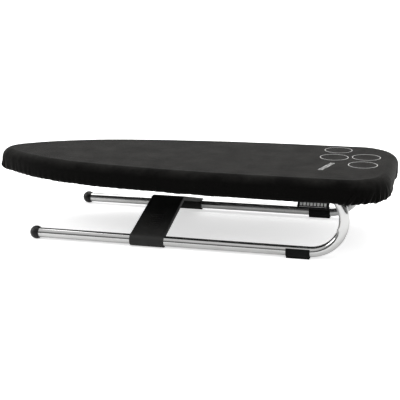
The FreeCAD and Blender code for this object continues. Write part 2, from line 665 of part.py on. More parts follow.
def make_label():
    """Saddle stuck over the top of the far tube, with a tag standing up from its near edge."""
    body = new_body("tube_label")
    place(body, x="board_length / 2 - label_setback", y=TUBE_Y, z=LOWER_AXIS)
    sketch = new_sketch(body, "XZ")
    under = "(tube_diameter / 2 + label_gap)"
    rectangle(sketch, ("-label_length / 2", "label_length / 2"), (under, f"{under} + label_thick"))
    spin(body, sketch, "label_span", middle=True)
    tag = new_sketch(body, "YZ", turn="label_span / 2")
    rectangle(tag, ("0", "label_height"), (under, f"{under} + label_thick"))
    pad(body, tag, "label_length", middle=True)
    return body


# ---------------------------------------------------------------- output

def make_all():
    """Build every sub-part and return them all."""
    fill_sheet()
    subparts = [
        make_cover(), make_hem_band(), make_felt(), make_tray(), make_stringer(),
        make_brace("front_brace", "front_brace_setback - board_length / 2"),
        make_brace("rear_brace", "board_length / 2 - rear_brace_setback"),
        make_crossbar(), make_label(), make_rivets()]
    for side, sign in SIDES.items():
        subparts += [make(side, sign) for make in (make_leg_tube, make_ball_cap, make_end_plug, make_foot_pad)]
        subparts += [make_clamp(f"{side}_{end}_clamp", x, sign) for end, x in CLAMP_X.items()]
    doc.recompute()
    return subparts


def check(subparts):
    """Stop if any object failed, or a sub-part's shape is missing or broken."""
    for thing in doc.Objects:
        if "Invalid" in thing.State or "Error" in thing.State:
            raise RuntimeError(f"{thing.Label}: {thing.State}")
    for subpart in subparts:
        if subpart.Shape.isNull() or not subpart.Shape.isValid() or not subpart.Shape.Solids:
            raise RuntimeError(f"{subpart.Label}: bad shape")


def export(subparts):
    os.makedirs("parts", exist_ok=True)
    for subpart in subparts:
        subpart.Shape.exportStep(f"parts/{subpart.Label}.step")


board = make_all()
check(board)
export(board)
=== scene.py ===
"""Looks for a table-top ironing board: stretched cloth cover, chromed legs and moulded fittings.

Laid out as an add-on and run as a script. Metres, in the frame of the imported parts.
"""
import math

import bmesh
import bpy
import numpy as np
from bpy.props import FloatProperty, FloatVectorProperty, IntProperty, PointerProperty
from mathutils import Matrix, Vector


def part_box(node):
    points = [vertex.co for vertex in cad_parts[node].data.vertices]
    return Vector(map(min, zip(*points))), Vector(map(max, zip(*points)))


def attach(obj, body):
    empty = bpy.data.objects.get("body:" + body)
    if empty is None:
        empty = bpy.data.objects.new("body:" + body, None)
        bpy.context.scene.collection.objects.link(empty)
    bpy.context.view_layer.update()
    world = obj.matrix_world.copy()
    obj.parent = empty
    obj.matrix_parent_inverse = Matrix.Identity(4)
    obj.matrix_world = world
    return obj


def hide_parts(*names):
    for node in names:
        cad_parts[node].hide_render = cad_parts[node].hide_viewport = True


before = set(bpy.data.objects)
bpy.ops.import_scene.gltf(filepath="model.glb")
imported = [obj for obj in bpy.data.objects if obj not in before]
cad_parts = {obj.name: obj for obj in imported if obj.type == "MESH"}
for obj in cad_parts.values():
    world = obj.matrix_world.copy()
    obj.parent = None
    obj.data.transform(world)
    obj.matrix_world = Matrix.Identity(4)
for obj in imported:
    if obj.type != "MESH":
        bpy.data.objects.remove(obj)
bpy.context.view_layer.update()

bl_info = {
    "name": "Ironing board looks",
    "version": (1, 0, 0),
    "blender": (4, 5, 0),
    "location": "3D View > Sidebar > Ironing board",
    "description": "Builds the cover, legs, fittings and studio of a table-top ironing board",
    "category": "Object",
}

MM = 0.001
SIDES = {"near": -1, "far": 1}
COVER_LOW, COVER_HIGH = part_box("cover")
TUBE_LOW, TUBE_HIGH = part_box("near_leg_tube")
LABEL_LOW, LABEL_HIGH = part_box("tube_label")


def millimetres(text, number, **more):
    """A length property whose default is given in millimetres."""
    return FloatProperty(name=text[0], description=text[1], default=number * MM, unit="LENGTH", **more)


def plain(text, number, **more):
    """A number with no unit."""
    return FloatProperty(name=text[0], description=text[1], default=number, **more)


def colour(text, rgb):
    """A colour property."""
    return FloatVectorProperty(name=text[0], description=text[1], default=rgb, size=3, subtype="COLOR",
                               min=0, max=1)


class BoardPlan(bpy.types.PropertyGroup):
    """The board's plan, as tangent arcs."""
    taper: millimetres(("Taper", "Nose tip to the start of the parallel sides"), 543)
    nose: millimetres(("Nose radius", "Arc at the tip of the nose"), 44)
    nose_angle: plain(("Nose angle", "Half of the nose arc, degrees"), 51.6)
    shoulder_gap: millimetres(("Shoulder gap", "Side to the crest of the arc behind the nose"), 20.3)
    corner: millimetres(("Corner radius", "Tail corners"), 71)


class CoverLook(bpy.types.PropertyGroup):
    """The cloth cover, its gathers and its print."""
    crown: millimetres(("Crown", "Rounding of the cover's top edge"), 15)
    edge: millimetres(("Edge", "Rounding of the cover's hem edge"), 8)
    sheet: millimetres(("Cloth", "Thickness of the cloth"), 0.9)
    hem_reach: millimetres(("Hem reach", "How far the hem turns in under the board"), 15)
    columns: IntProperty(name="Columns", description="Points round the cover", default=760)
    base: colour(("Cloth colour", "Colour of the yarn"), (0.0032, 0.0031, 0.0029))
    print_colour: colour(("Print colour", "Colour of the printed rings"), (0.62, 0.62, 0.61))
    ring: millimetres(("Ring radius", "Radius of a printed ring"), 25.2)
    ring_line: millimetres(("Ring line", "Width of a printed line"), 0.95)
    ring_tail: millimetres(("Ring setback", "Tail to the middle of the last column of rings"), 54)
    ring_column: millimetres(("Ring columns", "Spacing of the two columns of rings"), 57)
    ring_row: millimetres(("Ring rows", "Spacing of the rings in a column"), 64)
    ring_shift: millimetres(("Ring shift", "How far one column is moved along the other"), 53)
    ring_first: millimetres(("First ring", "Board's middle to the nearest ring of the last column"), -18)


class BaseLook(bpy.types.PropertyGroup):
    """Legs and fittings."""
    tube: millimetres(("Tube", "Outside diameter of the leg tubes"), 18)
    wall: millimetres(("Tube wall", "Wall of the leg tubes"), 1.5)
    chrome: colour(("Chrome", "Colour of the plating"), (0.60, 0.60, 0.595))
    plastic: colour(("Plastic", "Colour of the crossbar"), (0.014, 0.014, 0.0135))
    rubber: colour(("Rubber", "Colour of the caps and foot pads"), (0.0025, 0.0025, 0.0025))
    steel: colour(("Coated steel", "Colour of the tray's powder coat"), (0.018, 0.018, 0.019))
    zinc: colour(("Zinc", "Colour of the clamps and rivets"), (0.56, 0.57, 0.58))
    felt: colour(("Felt", "Colour of the felt pad"), (0.60, 0.58, 0.53))
    weld_pitch: millimetres(("Weld pitch", "Spacing of the spot welds"), 55)


class StudioLook(bpy.types.PropertyGroup):
    """Camera and light."""
    azimuth: plain(("Azimuth", "Camera's turn about the board, degrees"), 15.06)
    elevation: plain(("Elevation", "Camera's height above the table, degrees"), 14.80)
    roll: plain(("Roll", "Camera's roll, degrees"), -0.45)
    distance: FloatProperty(name="Distance", description="Camera to target", default=1.8517, unit="LENGTH")
    lens: plain(("Lens", "Focal length in millimetres"), 86.31)
    target: FloatVectorProperty(name="Target", description="Where the camera looks", size=3,
                                default=(0.0061, 0.0499, 0.0417), unit="LENGTH")
    floor: colour(("Floor", "Colour of the floor"), (0.85, 0.85, 0.85))
    overhead: plain(("Overhead", "Power of the overhead light, watts"), 28.0)
    side: plain(("Side", "Power of the right light, watts; the left has 1.3 times as much"), 20.0)
    glow: plain(("Glow", "Light that comes up through the floor"), 0.6)
    sky: plain(("Sky", "Strength of the room's light"), 0.8)


GROUPS = {"board_plan": BoardPlan, "board_cover": CoverLook, "board_base": BaseLook,
          "board_studio": StudioLook}


# ---------------------------------------------------------------- node helpers

def feed(tree, socket, value):
    """Link a socket to another, or set its value."""
    if isinstance(value, bpy.types.NodeSocket):
        tree.links.new(value, socket)
    elif hasattr(value, "__len__") and not isinstance(value, str) and len(value) == 3 \
            and socket.type == "RGBA":
        socket.default_value = (*value, 1)
    else:
        socket.default_value = value


def add(tree, kind, settings=None, **inputs):
    """A node with settings, and inputs by name, spaces written as underscores or in by number."""
    node = tree.nodes.new(kind)
    for name, value in (settings or {}).items():
        setattr(node, name, value)
    for name, value in inputs.items():
        key = int(name[1:]) if name[0] == "i" and name[1:].isdigit() else name.replace("_", " ")
        feed(tree, node.inputs[key], value)
    return node


def maths(tree, operation, first, second=0.0, third=0.0, clamp=False):
    """The result of one Math node."""
    node = add(tree, "ShaderNodeMath", {"operation": operation, "use_clamp": clamp}, i0=first, i1=second,
               i2=third)
    return node.outputs[0]


def blend(tree, factor, first, second):
    """A colour between two others."""
    node = add(tree, "ShaderNodeMix", {"data_type": "RGBA"})
    for name, value in (("Factor_Float", factor), ("A_Color", first), ("B_Color", second)):
        feed(tree, next(s for s in node.inputs if s.identifier == name), value)
    return next(s for s in node.outputs if s.identifier == "Result_Color")


def spread(tree, value, low, high, to_low, to_high):
    """Map one range of numbers on to another, clamped."""
    node = add(tree, "ShaderNodeMapRange", None, Value=value, From_Min=low, From_Max=high, To_Min=to_low,
               To_Max=to_high)
    return node.outputs[0]


def new_group(name, inputs, outputs):
    """An empty shader group, its input node and its output node."""
    group = bpy.data.node_groups.new(name, "ShaderNodeTree")
    for label, kind, value in inputs:
        socket = group.interface.new_socket(label, in_out="INPUT", socket_type=f"NodeSocket{kind}")
        if value is not None:
            socket.default_value = value
    for label, kind in outputs:
        group.interface.new_socket(label, in_out="OUTPUT", socket_type=f"NodeSocket{kind}")
    return group, group.nodes.new("NodeGroupInput").outputs, group.nodes.new("NodeGroupOutput").inputs


def use(tree, group, **inputs):
    """The outputs of a shader group placed in a tree."""
    return add(tree, "ShaderNodeGroup", {"node_tree": bpy.data.node_groups[group]}, **inputs).outputs


def new_material(name):
    """A material with its node tree and its Principled shader."""
    material = bpy.data.materials.new(name)
    material.use_nodes = True
    tree = material.node_tree
    tree.nodes.clear()
    shader = add(tree, "ShaderNodeBsdfPrincipled")
    out = add(tree, "ShaderNodeOutputMaterial")
    tree.links.new(shader.outputs[0], out.inputs["Surface"])
    return material, tree, shader


def object_coordinates(tree):
    """Metres in the frame of the parts."""
    return add(tree, "ShaderNodeTexCoord").outputs["Object"]


# ---------------------------------------------------------------- shader groups

def group_grain():
    """Moulded or coated grain: a normal, and a roughness that varies with it."""
    group, given, out = new_group("moulded_grain", [
        ("Vector", "Vector", None), ("Grain", "Float", 900.0), ("Depth", "Float", 0.00004),
        ("Roughness", "Float", 0.5), ("Variation", "Float", 0.1)],
        [("Normal", "Vector"), ("Roughness", "Float")])
    fine = add(group, "ShaderNodeTexNoise", None, Vector=given["Vector"], Scale=given["Grain"], Detail=2.0)
    pits = add(group, "ShaderNodeTexVoronoi", {"feature": "SMOOTH_F1"}, Vector=given["Vector"],
               Scale=given["Grain"])
    height = maths(group, "ADD", fine.outputs["Fac"],
                   maths(group, "MULTIPLY", pits.outputs["Distance"], 0.6))
    bump = add(group, "ShaderNodeBump", None, Strength=1.0, Distance=given["Depth"], Height=height)
    broad = add(group, "ShaderNodeTexNoise", None, Vector=given["Vector"], Scale=38.0, Detail=3.0)
    drift = maths(group, "MULTIPLY", maths(group, "SUBTRACT", broad.outputs["Fac"], 0.5),
                  given["Variation"])
    group.links.new(bump.outputs[0], out["Normal"])
    group.links.new(maths(group, "ADD", given["Roughness"], drift, clamp=True), out["Roughness"])


def group_scuffs():
    """Fine scratches and rubbed patches as a mask."""
    group, given, out = new_group("scuffs", [
        ("Vector", "Vector", None), ("Scale", "Float", 60.0), ("Amount", "Float", 0.5)],
        [("Mask", "Float")])
    bent = add(group, "ShaderNodeTexNoise", None, Vector=given["Vector"], Scale=14.0, Detail=2.0)
    where = add(group, "ShaderNodeVectorMath", {"operation": "MULTIPLY_ADD"}, i0=bent.outputs["Color"],
                i1=(0.02, 0.02, 0.02), i2=given["Vector"])
    lines = add(group, "ShaderNodeTexVoronoi", {"feature": "DISTANCE_TO_EDGE"}, Vector=where.outputs[0],
                Scale=given["Scale"])
    thin = spread(group, lines.outputs["Distance"], 0.0, 0.018, 1.0, 0.0)
    patch = spread(group, bent.outputs["Fac"], 0.5, 0.68, 0.0, 1.0)
    mask = maths(group, "MULTIPLY", maths(group, "MULTIPLY", thin, patch), given["Amount"], clamp=True)
    group.links.new(mask, out["Mask"])


def group_dust_and_top_light():
    """A mask of pale patches on faces that look up: settled lint, and on the cloth also painted light that
    makes the top lighter than the sides.
    """
    group, given, out = new_group("settled_dust_and_top_light", [
        ("Vector", "Vector", None), ("Amount", "Float", 0.2)], [("Mask", "Float")])
    up = add(group, "ShaderNodeSeparateXYZ", None, i0=add(group, "ShaderNodeNewGeometry").outputs["Normal"])
    cloud = add(group, "ShaderNodeTexNoise", None, Vector=given["Vector"], Scale=22.0, Detail=8.0,
                Roughness=0.7)
    patch = spread(group, cloud.outputs["Fac"], 0.38, 0.72, 0.0, 1.0)
    lying = spread(group, up.outputs["Z"], 0.1, 0.95, 0.0, 1.0)
    mask = maths(group, "MULTIPLY", maths(group, "MULTIPLY", patch, lying), given["Amount"], clamp=True)
    group.links.new(mask, out["Mask"])


def group_weave():
    """Plain weave: a height and a thread mask, from coordinates in metres along the two yarns."""
    group, given, out = new_group("plain_weave", [
        ("Vector", "Vector", None), ("Pitch", "Float", 0.0007)], [("Height", "Float"), ("Thread", "Float")])
    split = add(group, "ShaderNodeSeparateXYZ", None, i0=given["Vector"])
    turn = maths(group, "DIVIDE", math.pi, given["Pitch"])
    across, along = (maths(group, "MULTIPLY", split.outputs[axis], turn) for axis in "XY")
    warp, weft = (maths(group, "ABSOLUTE", maths(group, "SINE", angle)) for angle in (across, along))
    over = maths(group, "MULTIPLY", maths(group, "SINE", across), maths(group, "SINE", along))
    crossing = spread(group, over, -0.4, 0.4, 0.0, 1.0)
    high = maths(group, "ADD", maths(group, "MULTIPLY", warp, crossing),
                 maths(group, "MULTIPLY", weft, maths(group, "SUBTRACT", 1.0, crossing)))
    group.links.new(high, out["Height"])
    group.links.new(crossing, out["Thread"])


def group_ring():
    """One printed ring: a mask, from its middle, radius and line."""
    group, given, out = new_group("printed_ring", [
        ("Vector", "Vector", None), ("Middle", "Vector", (0, 0, 0)), ("Radius", "Float", 0.027),
        ("Line", "Float", 0.0013)], [("Mask", "Float")])
    flat = add(group, "ShaderNodeVectorMath", {"operation": "MULTIPLY"}, i0=given["Vector"], i1=(1, 1, 0))
    far = add(group, "ShaderNodeVectorMath", {"operation": "DISTANCE"}, i0=flat.outputs[0],
              i1=given["Middle"])
    off = maths(group, "ABSOLUTE", maths(group, "SUBTRACT", far.outputs["Value"], given["Radius"]))
    half = maths(group, "MULTIPLY", given["Line"], 0.5)
    soft = maths(group, "MULTIPLY", half, 1.5)
    group.links.new(spread(group, off, half, soft, 1.0, 0.0), out["Mask"])


def build_groups():
    """Make each shader group once."""
    for make in (group_grain, group_scuffs, group_dust_and_top_light, group_weave, group_ring):
        make()


# ---------------------------------------------------------------- materials

def ring_middles(cover):
    """Where the printed rings are, from the tail and the middle of the board."""
    last = COVER_HIGH.x - cover.ring_tail
    first_y = cover.ring_first
    return [(last - column * cover.ring_column,
             first_y + row * cover.ring_row + column * cover.ring_shift, 0)
            for column in (0, 1) for row in (0, 1)]


def cloth_material(cover):
    """Black cotton with a soft sheen, a plain weave, painted light that makes the top lighter, and printed
    rings and dashes on the top.
    """
    material, tree, shader = new_material("cover_cloth")
    place = object_coordinates(tree)
    yarns = add(tree, "ShaderNodeUVMap", {"uv_map": "cloth"}).outputs[0]
    weave = use(tree, "plain_weave", Vector=yarns, Pitch=0.00075)
    slub = add(tree, "ShaderNodeTexNoise", None, Vector=add(
        tree, "ShaderNodeVectorMath", {"operation": "MULTIPLY"}, i0=yarns, i1=(60, 900, 1)).outputs[0],
        Scale=1.0, Detail=3.0)
    worn = add(tree, "ShaderNodeTexNoise", None, Vector=place, Scale=9.0, Detail=5.0, Roughness=0.6)
    shade = maths(tree, "MULTIPLY", spread(tree, worn.outputs["Fac"], 0.3, 0.7, 0.86, 1.16),
                  spread(tree, slub.outputs["Fac"], 0.25, 0.75, 0.8, 1.22))
    yarn = maths(tree, "MULTIPLY", shade, spread(tree, weave["Height"], 0.0, 1.0, 0.62, 1.1))
    body = add(tree, "ShaderNodeVectorMath", {"operation": "SCALE"}, i0=tuple(cover.base), Scale=yarn)
    # Painted light: faces that look up are blended towards pale grey, so the top reads lighter than the
    # near-black sides; this goes together with settled lint.
    dust_and_top_light = use(tree, "settled_dust_and_top_light", Vector=place, Amount=0.05)["Mask"]
    yarn_with_top_light = blend(tree, dust_and_top_light, body.outputs[0], (0.30, 0.29, 0.27))

    marks = None
    for middle in ring_middles(cover):
        ring = use(tree, "printed_ring", Vector=place, Middle=middle, Radius=cover.ring,
                   Line=cover.ring_line)["Mask"]
        marks = ring if marks is None else maths(tree, "MAXIMUM", marks, ring)
    marks = maths(tree, "MAXIMUM", marks, dash_row(tree, place))
    split = add(tree, "ShaderNodeSeparateXYZ", None, i0=place)
    top = spread(tree, split.outputs["Z"], COVER_HIGH.z - 3 * MM, COVER_HIGH.z - 2 * MM, 0.0, 1.0)
    speckle = spread(tree, slub.outputs["Fac"], 0.2, 0.45, 0.8, 1.0)
    ink = maths(tree, "MULTIPLY", maths(tree, "MULTIPLY", marks, top), speckle, clamp=True)
    feed(tree, shader.inputs["Base Color"], blend(tree, ink, yarn_with_top_light, tuple(cover.print_colour)))

    creep = add(tree, "ShaderNodeTexNoise", None, Vector=place, Scale=130.0, Detail=4.0)
    height = maths(tree, "ADD", maths(tree, "MULTIPLY", weave["Height"], 0.5),
                   maths(tree, "ADD", slub.outputs["Fac"], creep.outputs["Fac"]))
    bump = add(tree, "ShaderNodeBump", None, Strength=0.55, Distance=0.00016, Height=height)
    feed(tree, shader.inputs["Normal"], bump.outputs[0])
    feed(tree, shader.inputs["Roughness"], spread(tree, slub.outputs["Fac"], 0.2, 0.8, 0.72, 0.88))
    shader.inputs["Specular IOR Level"].default_value = 0.015
    shader.inputs["Sheen Weight"].default_value = 0.11
    shader.inputs["Sheen Roughness"].default_value = 0.38
    shader.inputs["Sheen Tint"].default_value = (1.0, 0.985, 0.96, 1)
    return material


def dash_row(tree, place):
    """A short row of plain upright strokes, in groups, beside the rings."""
    long, pitch, tall, broad = 60 * MM, 3.9 * MM, 3.9 * MM, 0.62 * MM
    start = Vector((COVER_HIGH.x - 122 * MM, -72 * MM, 0))
    local = add(tree, "ShaderNodeMapping", {"vector_type": "TEXTURE"}, Vector=place, Location=start,
                Rotation=(0, 0, math.radians(75.6)))
    split = add(tree, "ShaderNodeSeparateXYZ", None, i0=local.outputs[0])
    along, across = split.outputs["X"], maths(tree, "ABSOLUTE", split.outputs["Y"])
    beat = maths(tree, "PINGPONG", along, pitch / 2)
    group = maths(tree, "PINGPONG", along, 4 * pitch)
    inside = maths(tree, "MULTIPLY", maths(tree, "GREATER_THAN", along, 0.0),
                   maths(tree, "LESS_THAN", along, long))
    upright = maths(tree, "MULTIPLY", spread(tree, beat, broad, broad + 0.2 * MM, 1.0, 0.0),
                    spread(tree, across, tall, tall + 0.3 * MM, 1.0, 0.0))
    joined = maths(tree, "MULTIPLY", maths(tree, "LESS_THAN", group, 1.9 * pitch),
                   maths(tree, "COMPARE", across, tall - 0.6 * MM, 0.5 * MM))
    return maths(tree, "MULTIPLY", maths(tree, "MAXIMUM", upright, joined), inside)


def elastic_material(cover):
    """Ribbed black band of the hem."""
    material, tree, shader = new_material("hem_band")
    yarns = add(tree, "ShaderNodeUVMap", {"uv_map": "cloth"}).outputs[0]
    weave = use(tree, "plain_weave", Vector=yarns, Pitch=0.0011)
    tone = spread(tree, weave["Height"], 0.0, 1.0, 0.5, 1.2)
    body = add(tree, "ShaderNodeVectorMath", {"operation": "SCALE"}, i0=tuple(cover.base), Scale=tone)
    feed(tree, shader.inputs["Base Color"], body.outputs[0])
    bump = add(tree, "ShaderNodeBump", None, Strength=0.8, Distance=0.0003, Height=weave["Height"])
    feed(tree, shader.inputs["Normal"], bump.outputs[0])
    shader.inputs["Roughness"].default_value = 0.8
    shader.inputs["Sheen Weight"].default_value = 0.1
    return material


def felt_material(base):
    """Needled felt: matted fibres of mixed shades."""
    material, tree, shader = new_material("felt")
    place = object_coordinates(tree)
    fibres = add(tree, "ShaderNodeTexNoise", None, Vector=place, Scale=420.0, Detail=9.0, Roughness=0.75,
                 Distortion=1.6)
    clumps = add(tree, "ShaderNodeTexNoise", None, Vector=place, Scale=45.0, Detail=3.0)
    light = tuple(base.felt)
    mixed = blend(tree, spread(tree, fibres.outputs["Fac"], 0.35, 0.62, 0.0, 1.0),
                  tuple(c * 0.55 for c in light), light)
    matted = spread(tree, clumps.outputs["Fac"], 0.45, 0.7, 0, 0.4)
    feed(tree, shader.inputs["Base Color"], blend(tree, matted, mixed, tuple(c * 0.75 for c in light)))
    bump = add(tree, "ShaderNodeBump", None, Strength=0.9, Distance=0.0006, Height=fibres.outputs["Fac"])
    feed(tree, shader.inputs["Normal"], bump.outputs[0])
    shader.inputs["Roughness"].default_value = 0.95
    shader.inputs["Sheen Weight"].default_value = 0.3
    return material


def chrome_material(base):
    """Bright plating over drawn tube: faint lengthwise draw marks, hairline scratches, a little haze."""
    material, tree, shader = new_material("chrome_tube")
    place = object_coordinates(tree)
    scratch = use(tree, "scuffs", Vector=place, Scale=85.0, Amount=0.8)["Mask"]
    drawn = add(tree, "ShaderNodeTexNoise", None, Vector=add(
        tree, "ShaderNodeVectorMath", {"operation": "MULTIPLY"}, i0=place, i1=(6, 900, 900)).outputs[0],
        Scale=1.0, Detail=2.0)
    haze = add(tree, "ShaderNodeTexNoise", None, Vector=place, Scale=30.0, Detail=4.0)
    bright = tuple(base.chrome)
    tone = blend(tree, spread(tree, haze.outputs["Fac"], 0.4, 0.75, 0.0, 0.35), bright,
                 tuple(c * 0.82 for c in bright))
    feed(tree, shader.inputs["Base Color"], blend(tree, scratch, tone, tuple(c * 0.6 for c in bright)))
    rough = maths(tree, "ADD", spread(tree, haze.outputs["Fac"], 0.35, 0.7, 0.05, 0.11),
                  maths(tree, "MULTIPLY", scratch, 0.18))
    feed(tree, shader.inputs["Roughness"], rough)
    bump = add(tree, "ShaderNodeBump", None, Strength=0.25, Distance=0.00002, Height=drawn.outputs["Fac"])
    feed(tree, shader.inputs["Normal"], bump.outputs[0])
    shader.inputs["Metallic"].default_value = 1.0
    return material


def moulded_material(name, tint, rough, grain, depth, dust_amount, specular):
    """A moulded black plastic or rubber: grain, rubbed patches, and patches of pale grey on faces that look
    up.
    """
    material, tree, shader = new_material(name)
    place = object_coordinates(tree)
    skin = use(tree, "moulded_grain", Vector=place, Grain=grain, Depth=depth, Roughness=rough,
               Variation=0.22)
    dust_and_top_light = use(tree, "settled_dust_and_top_light", Vector=place, Amount=dust_amount)["Mask"]
    rubbed = use(tree, "scuffs", Vector=place, Scale=70.0, Amount=0.35)["Mask"]
    tone = blend(tree, rubbed, tint, tuple(min(1, c * 2.6 + 0.01) for c in tint))
    feed(tree, shader.inputs["Base Color"], blend(tree, dust_and_top_light, tone, (0.30, 0.29, 0.28)))
    feed(tree, shader.inputs["Roughness"], skin["Roughness"])
    feed(tree, shader.inputs["Normal"], skin["Normal"])
    shader.inputs["Specular IOR Level"].default_value = specular
    return material


def coated_steel_material(base):
    """Powder coat: orange-peel, rubbed thinner in places."""
    material, tree, shader = new_material("tray_steel")
    place = object_coordinates(tree)
    skin = use(tree, "moulded_grain", Vector=place, Grain=520.0, Depth=0.00008, Roughness=0.48,
               Variation=0.2)
    rubbed = use(tree, "scuffs", Vector=place, Scale=40.0, Amount=0.6)["Mask"]
    feed(tree, shader.inputs["Base Color"], blend(tree, rubbed, tuple(base.steel), (0.12, 0.12, 0.12)))
    feed(tree, shader.inputs["Roughness"], skin["Roughness"])
    feed(tree, shader.inputs["Normal"], skin["Normal"])
    return material


def zinc_material(base):
    """Zinc plate with a spangle and brushed streaks."""
    material, tree, shader = new_material("clamp_steel")
    place = object_coordinates(tree)
    spangle = add(tree, "ShaderNodeTexVoronoi", None, Vector=place, Scale=260.0)
    streak = add(tree, "ShaderNodeTexNoise", None, Vector=add(
        tree, "ShaderNodeVectorMath", {"operation": "MULTIPLY"}, i0=place, i1=(40, 1400, 1400)).outputs[0],
        Scale=1.0, Detail=3.0)
    tint = tuple(base.zinc)
    crystal = spread(tree, spangle.outputs["Distance"], 0.0, 0.8, 0.0, 1.0)
    feed(tree, shader.inputs["Base Color"], blend(tree, crystal, tint, tuple(c * 0.7 for c in tint)))
    feed(tree, shader.inputs["Roughness"], spread(tree, streak.outputs["Fac"], 0.3, 0.7, 0.26, 0.46))
    bump = add(tree, "ShaderNodeBump", None, Strength=0.4, Distance=0.00003, Height=streak.outputs["Fac"])
    feed(tree, shader.inputs["Normal"], bump.outputs[0])
    shader.inputs["Metallic"].default_value = 1.0
    return material


def label_material():
    """Glossy black film with plain white blocks on the tag's near face."""
    material, tree, shader = new_material("label_film")
    place = object_coordinates(tree)
    split = add(tree, "ShaderNodeSeparateXYZ", None, i0=place)
    along = maths(tree, "SUBTRACT", split.outputs["X"], LABEL_LOW.x + 4 * MM)
    down = maths(tree, "SUBTRACT", LABEL_HIGH.z, split.outputs["Z"])
    facing = add(tree, "ShaderNodeVectorMath", {"operation": "DOT_PRODUCT"},
                 i0=add(tree, "ShaderNodeNewGeometry").outputs["Normal"], i1=(0, -0.766, 0.643))
    near = maths(tree, "GREATER_THAN", facing.outputs["Value"], 0.6)
    inside = maths(tree, "MULTIPLY", maths(tree, "GREATER_THAN", along, 0.0),
                   maths(tree, "LESS_THAN", along, 54 * MM))
    beat = maths(tree, "PINGPONG", along, 3.4 * MM)
    blocks = maths(tree, "MULTIPLY", spread(tree, beat, 0.9 * MM, 1.2 * MM, 0.0, 1.0),
                   maths(tree, "COMPARE", down, 6.2 * MM, 2.6 * MM))
    rule = maths(tree, "COMPARE", down, 10.6 * MM, 0.35 * MM)
    mark = maths(tree, "MULTIPLY", maths(tree, "MAXIMUM", blocks, rule),
                 maths(tree, "MULTIPLY", near, inside))
    wear = use(tree, "scuffs", Vector=place, Scale=120.0, Amount=0.5)["Mask"]
    ink = blend(tree, mark, (0.008, 0.008, 0.009), (0.85, 0.85, 0.84))
    feed(tree, shader.inputs["Base Color"], blend(tree, wear, ink, (0.08, 0.08, 0.08)))
    feed(tree, shader.inputs["Roughness"], spread(tree, wear, 0.0, 1.0, 0.3, 0.5))
    return material


def floor_material(studio):
    """Pale matt floor that glows less in reflections than in plain view."""
    material, tree, shader = new_material("floor")
    place = object_coordinates(tree)
    cloud = add(tree, "ShaderNodeTexNoise", None, Vector=place, Scale=2.0, Detail=3.0)
    pale = tuple(studio.floor)
    feed(tree, shader.inputs["Base Color"], blend(tree, cloud.outputs["Fac"], pale,
                                                  tuple(c * 0.985 for c in pale)))
    shader.inputs["Roughness"].default_value = 0.9
    shader.inputs["Emission Color"].default_value = (1, 1, 1, 1)
    seen = add(tree, "ShaderNodeLightPath").outputs["Is Camera Ray"]
    dimmed = 0.3 * studio.glow
    feed(tree, shader.inputs["Emission Strength"], spread(tree, seen, 0.0, 1.0, dimmed, studio.glow))
    return material


# ---------------------------------------------------------------- mesh helpers

def new_object(name, mesh):
    """An object with a mesh, in the scene."""
    piece = bpy.data.objects.new(name, mesh)
    bpy.context.scene.collection.objects.link(piece)
    return piece


def mesh_from(name, points, faces):
    """A smooth mesh from points and faces."""
    mesh = bpy.data.meshes.new(name)
    mesh.from_pydata([tuple(p) for p in points], [], [tuple(f) for f in faces])
    mesh.polygons.foreach_set("use_smooth", [True] * len(mesh.polygons))
    mesh.update()
    return mesh


def strip(columns, rows):
    """Quads of a closed band: rows of points, each row a ring of columns."""
    faces = []
    for row in range(rows - 1):
        for column in range(columns):
            after = (column + 1) % columns
            here, below = row * columns, (row + 1) * columns
            faces.append((here + column, below + column, below + after, here + after))
    return faces


def swept_tube(name, path, outer, inner):
    """A hollow tube along a path: outside, inside and two rim faces."""
    sides = 48
    path = [Vector(p) for p in path]
    rings = []
    across = Vector((0, 1, 0))
    for radius, order in ((outer, path), (inner, path[::-1])):
        for step, point in enumerate(order):
            index = step if order is path else len(path) - 1 - step
            before, after = path[max(index - 1, 0)], path[min(index + 1, len(path) - 1)]
            up = across.cross((after - before).normalized())
            rings.append([point + radius * (math.cos(a) * across + math.sin(a) * up)
                          for a in np.linspace(0, 2 * math.pi, sides, endpoint=False)])
    points = [point for ring in rings for point in ring]
    count = len(rings)
    faces = strip(sides, count)
    for column in range(sides):
        after = (column + 1) % sides
        last = (count - 1) * sides
        faces.append((last + column, column, after, last + after))
    mesh = mesh_from(name, points, faces)
    outwards(mesh)
    return new_object(name, mesh)


def outwards(mesh):
    """Merge doubles and turn the faces out."""
    work = bmesh.new()
    work.from_mesh(mesh)
    bmesh.ops.remove_doubles(work, verts=work.verts, dist=1e-6)
    bmesh.ops.recalc_face_normals(work, faces=work.faces)
    work.to_mesh(mesh)
    work.free()


def lathe(name, profile, centre, sides=64):
    """Turn a profile of (along x, radius) about the X axis through a centre."""
    rings, points = [], []
    for along, radius in profile:
        rings.append([centre + Vector((along, radius * math.cos(a), radius * math.sin(a)))
                      for a in np.linspace(0, 2 * math.pi, sides, endpoint=False)])
    for ring in rings:
        points += ring
    faces = strip(sides, len(rings))
    faces.append(tuple(range(sides)))
    faces.append(tuple(range(len(points) - sides, len(points))))
    mesh = mesh_from(name, points, faces)
    outwards(mesh)
    return new_object(name, mesh)


def sharpen(mesh, degrees=35):
    """Keep edges crisp where faces meet at more than an angle."""
    mesh.polygons.foreach_set("use_smooth", [True] * len(mesh.polygons))
    mesh.set_sharp_from_angle(angle=math.radians(degrees))


def finish_piece(piece, material, slot, *nodes):
    """Give a piece its material and its body, and hide the nodes that it stands for. The slot is not used.
    """
    piece.data.materials.clear()
    piece.data.materials.append(material)
    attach(piece, "root")
    if nodes:
        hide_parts(*nodes)
    return piece


# ---------------------------------------------------------------- the board's plan

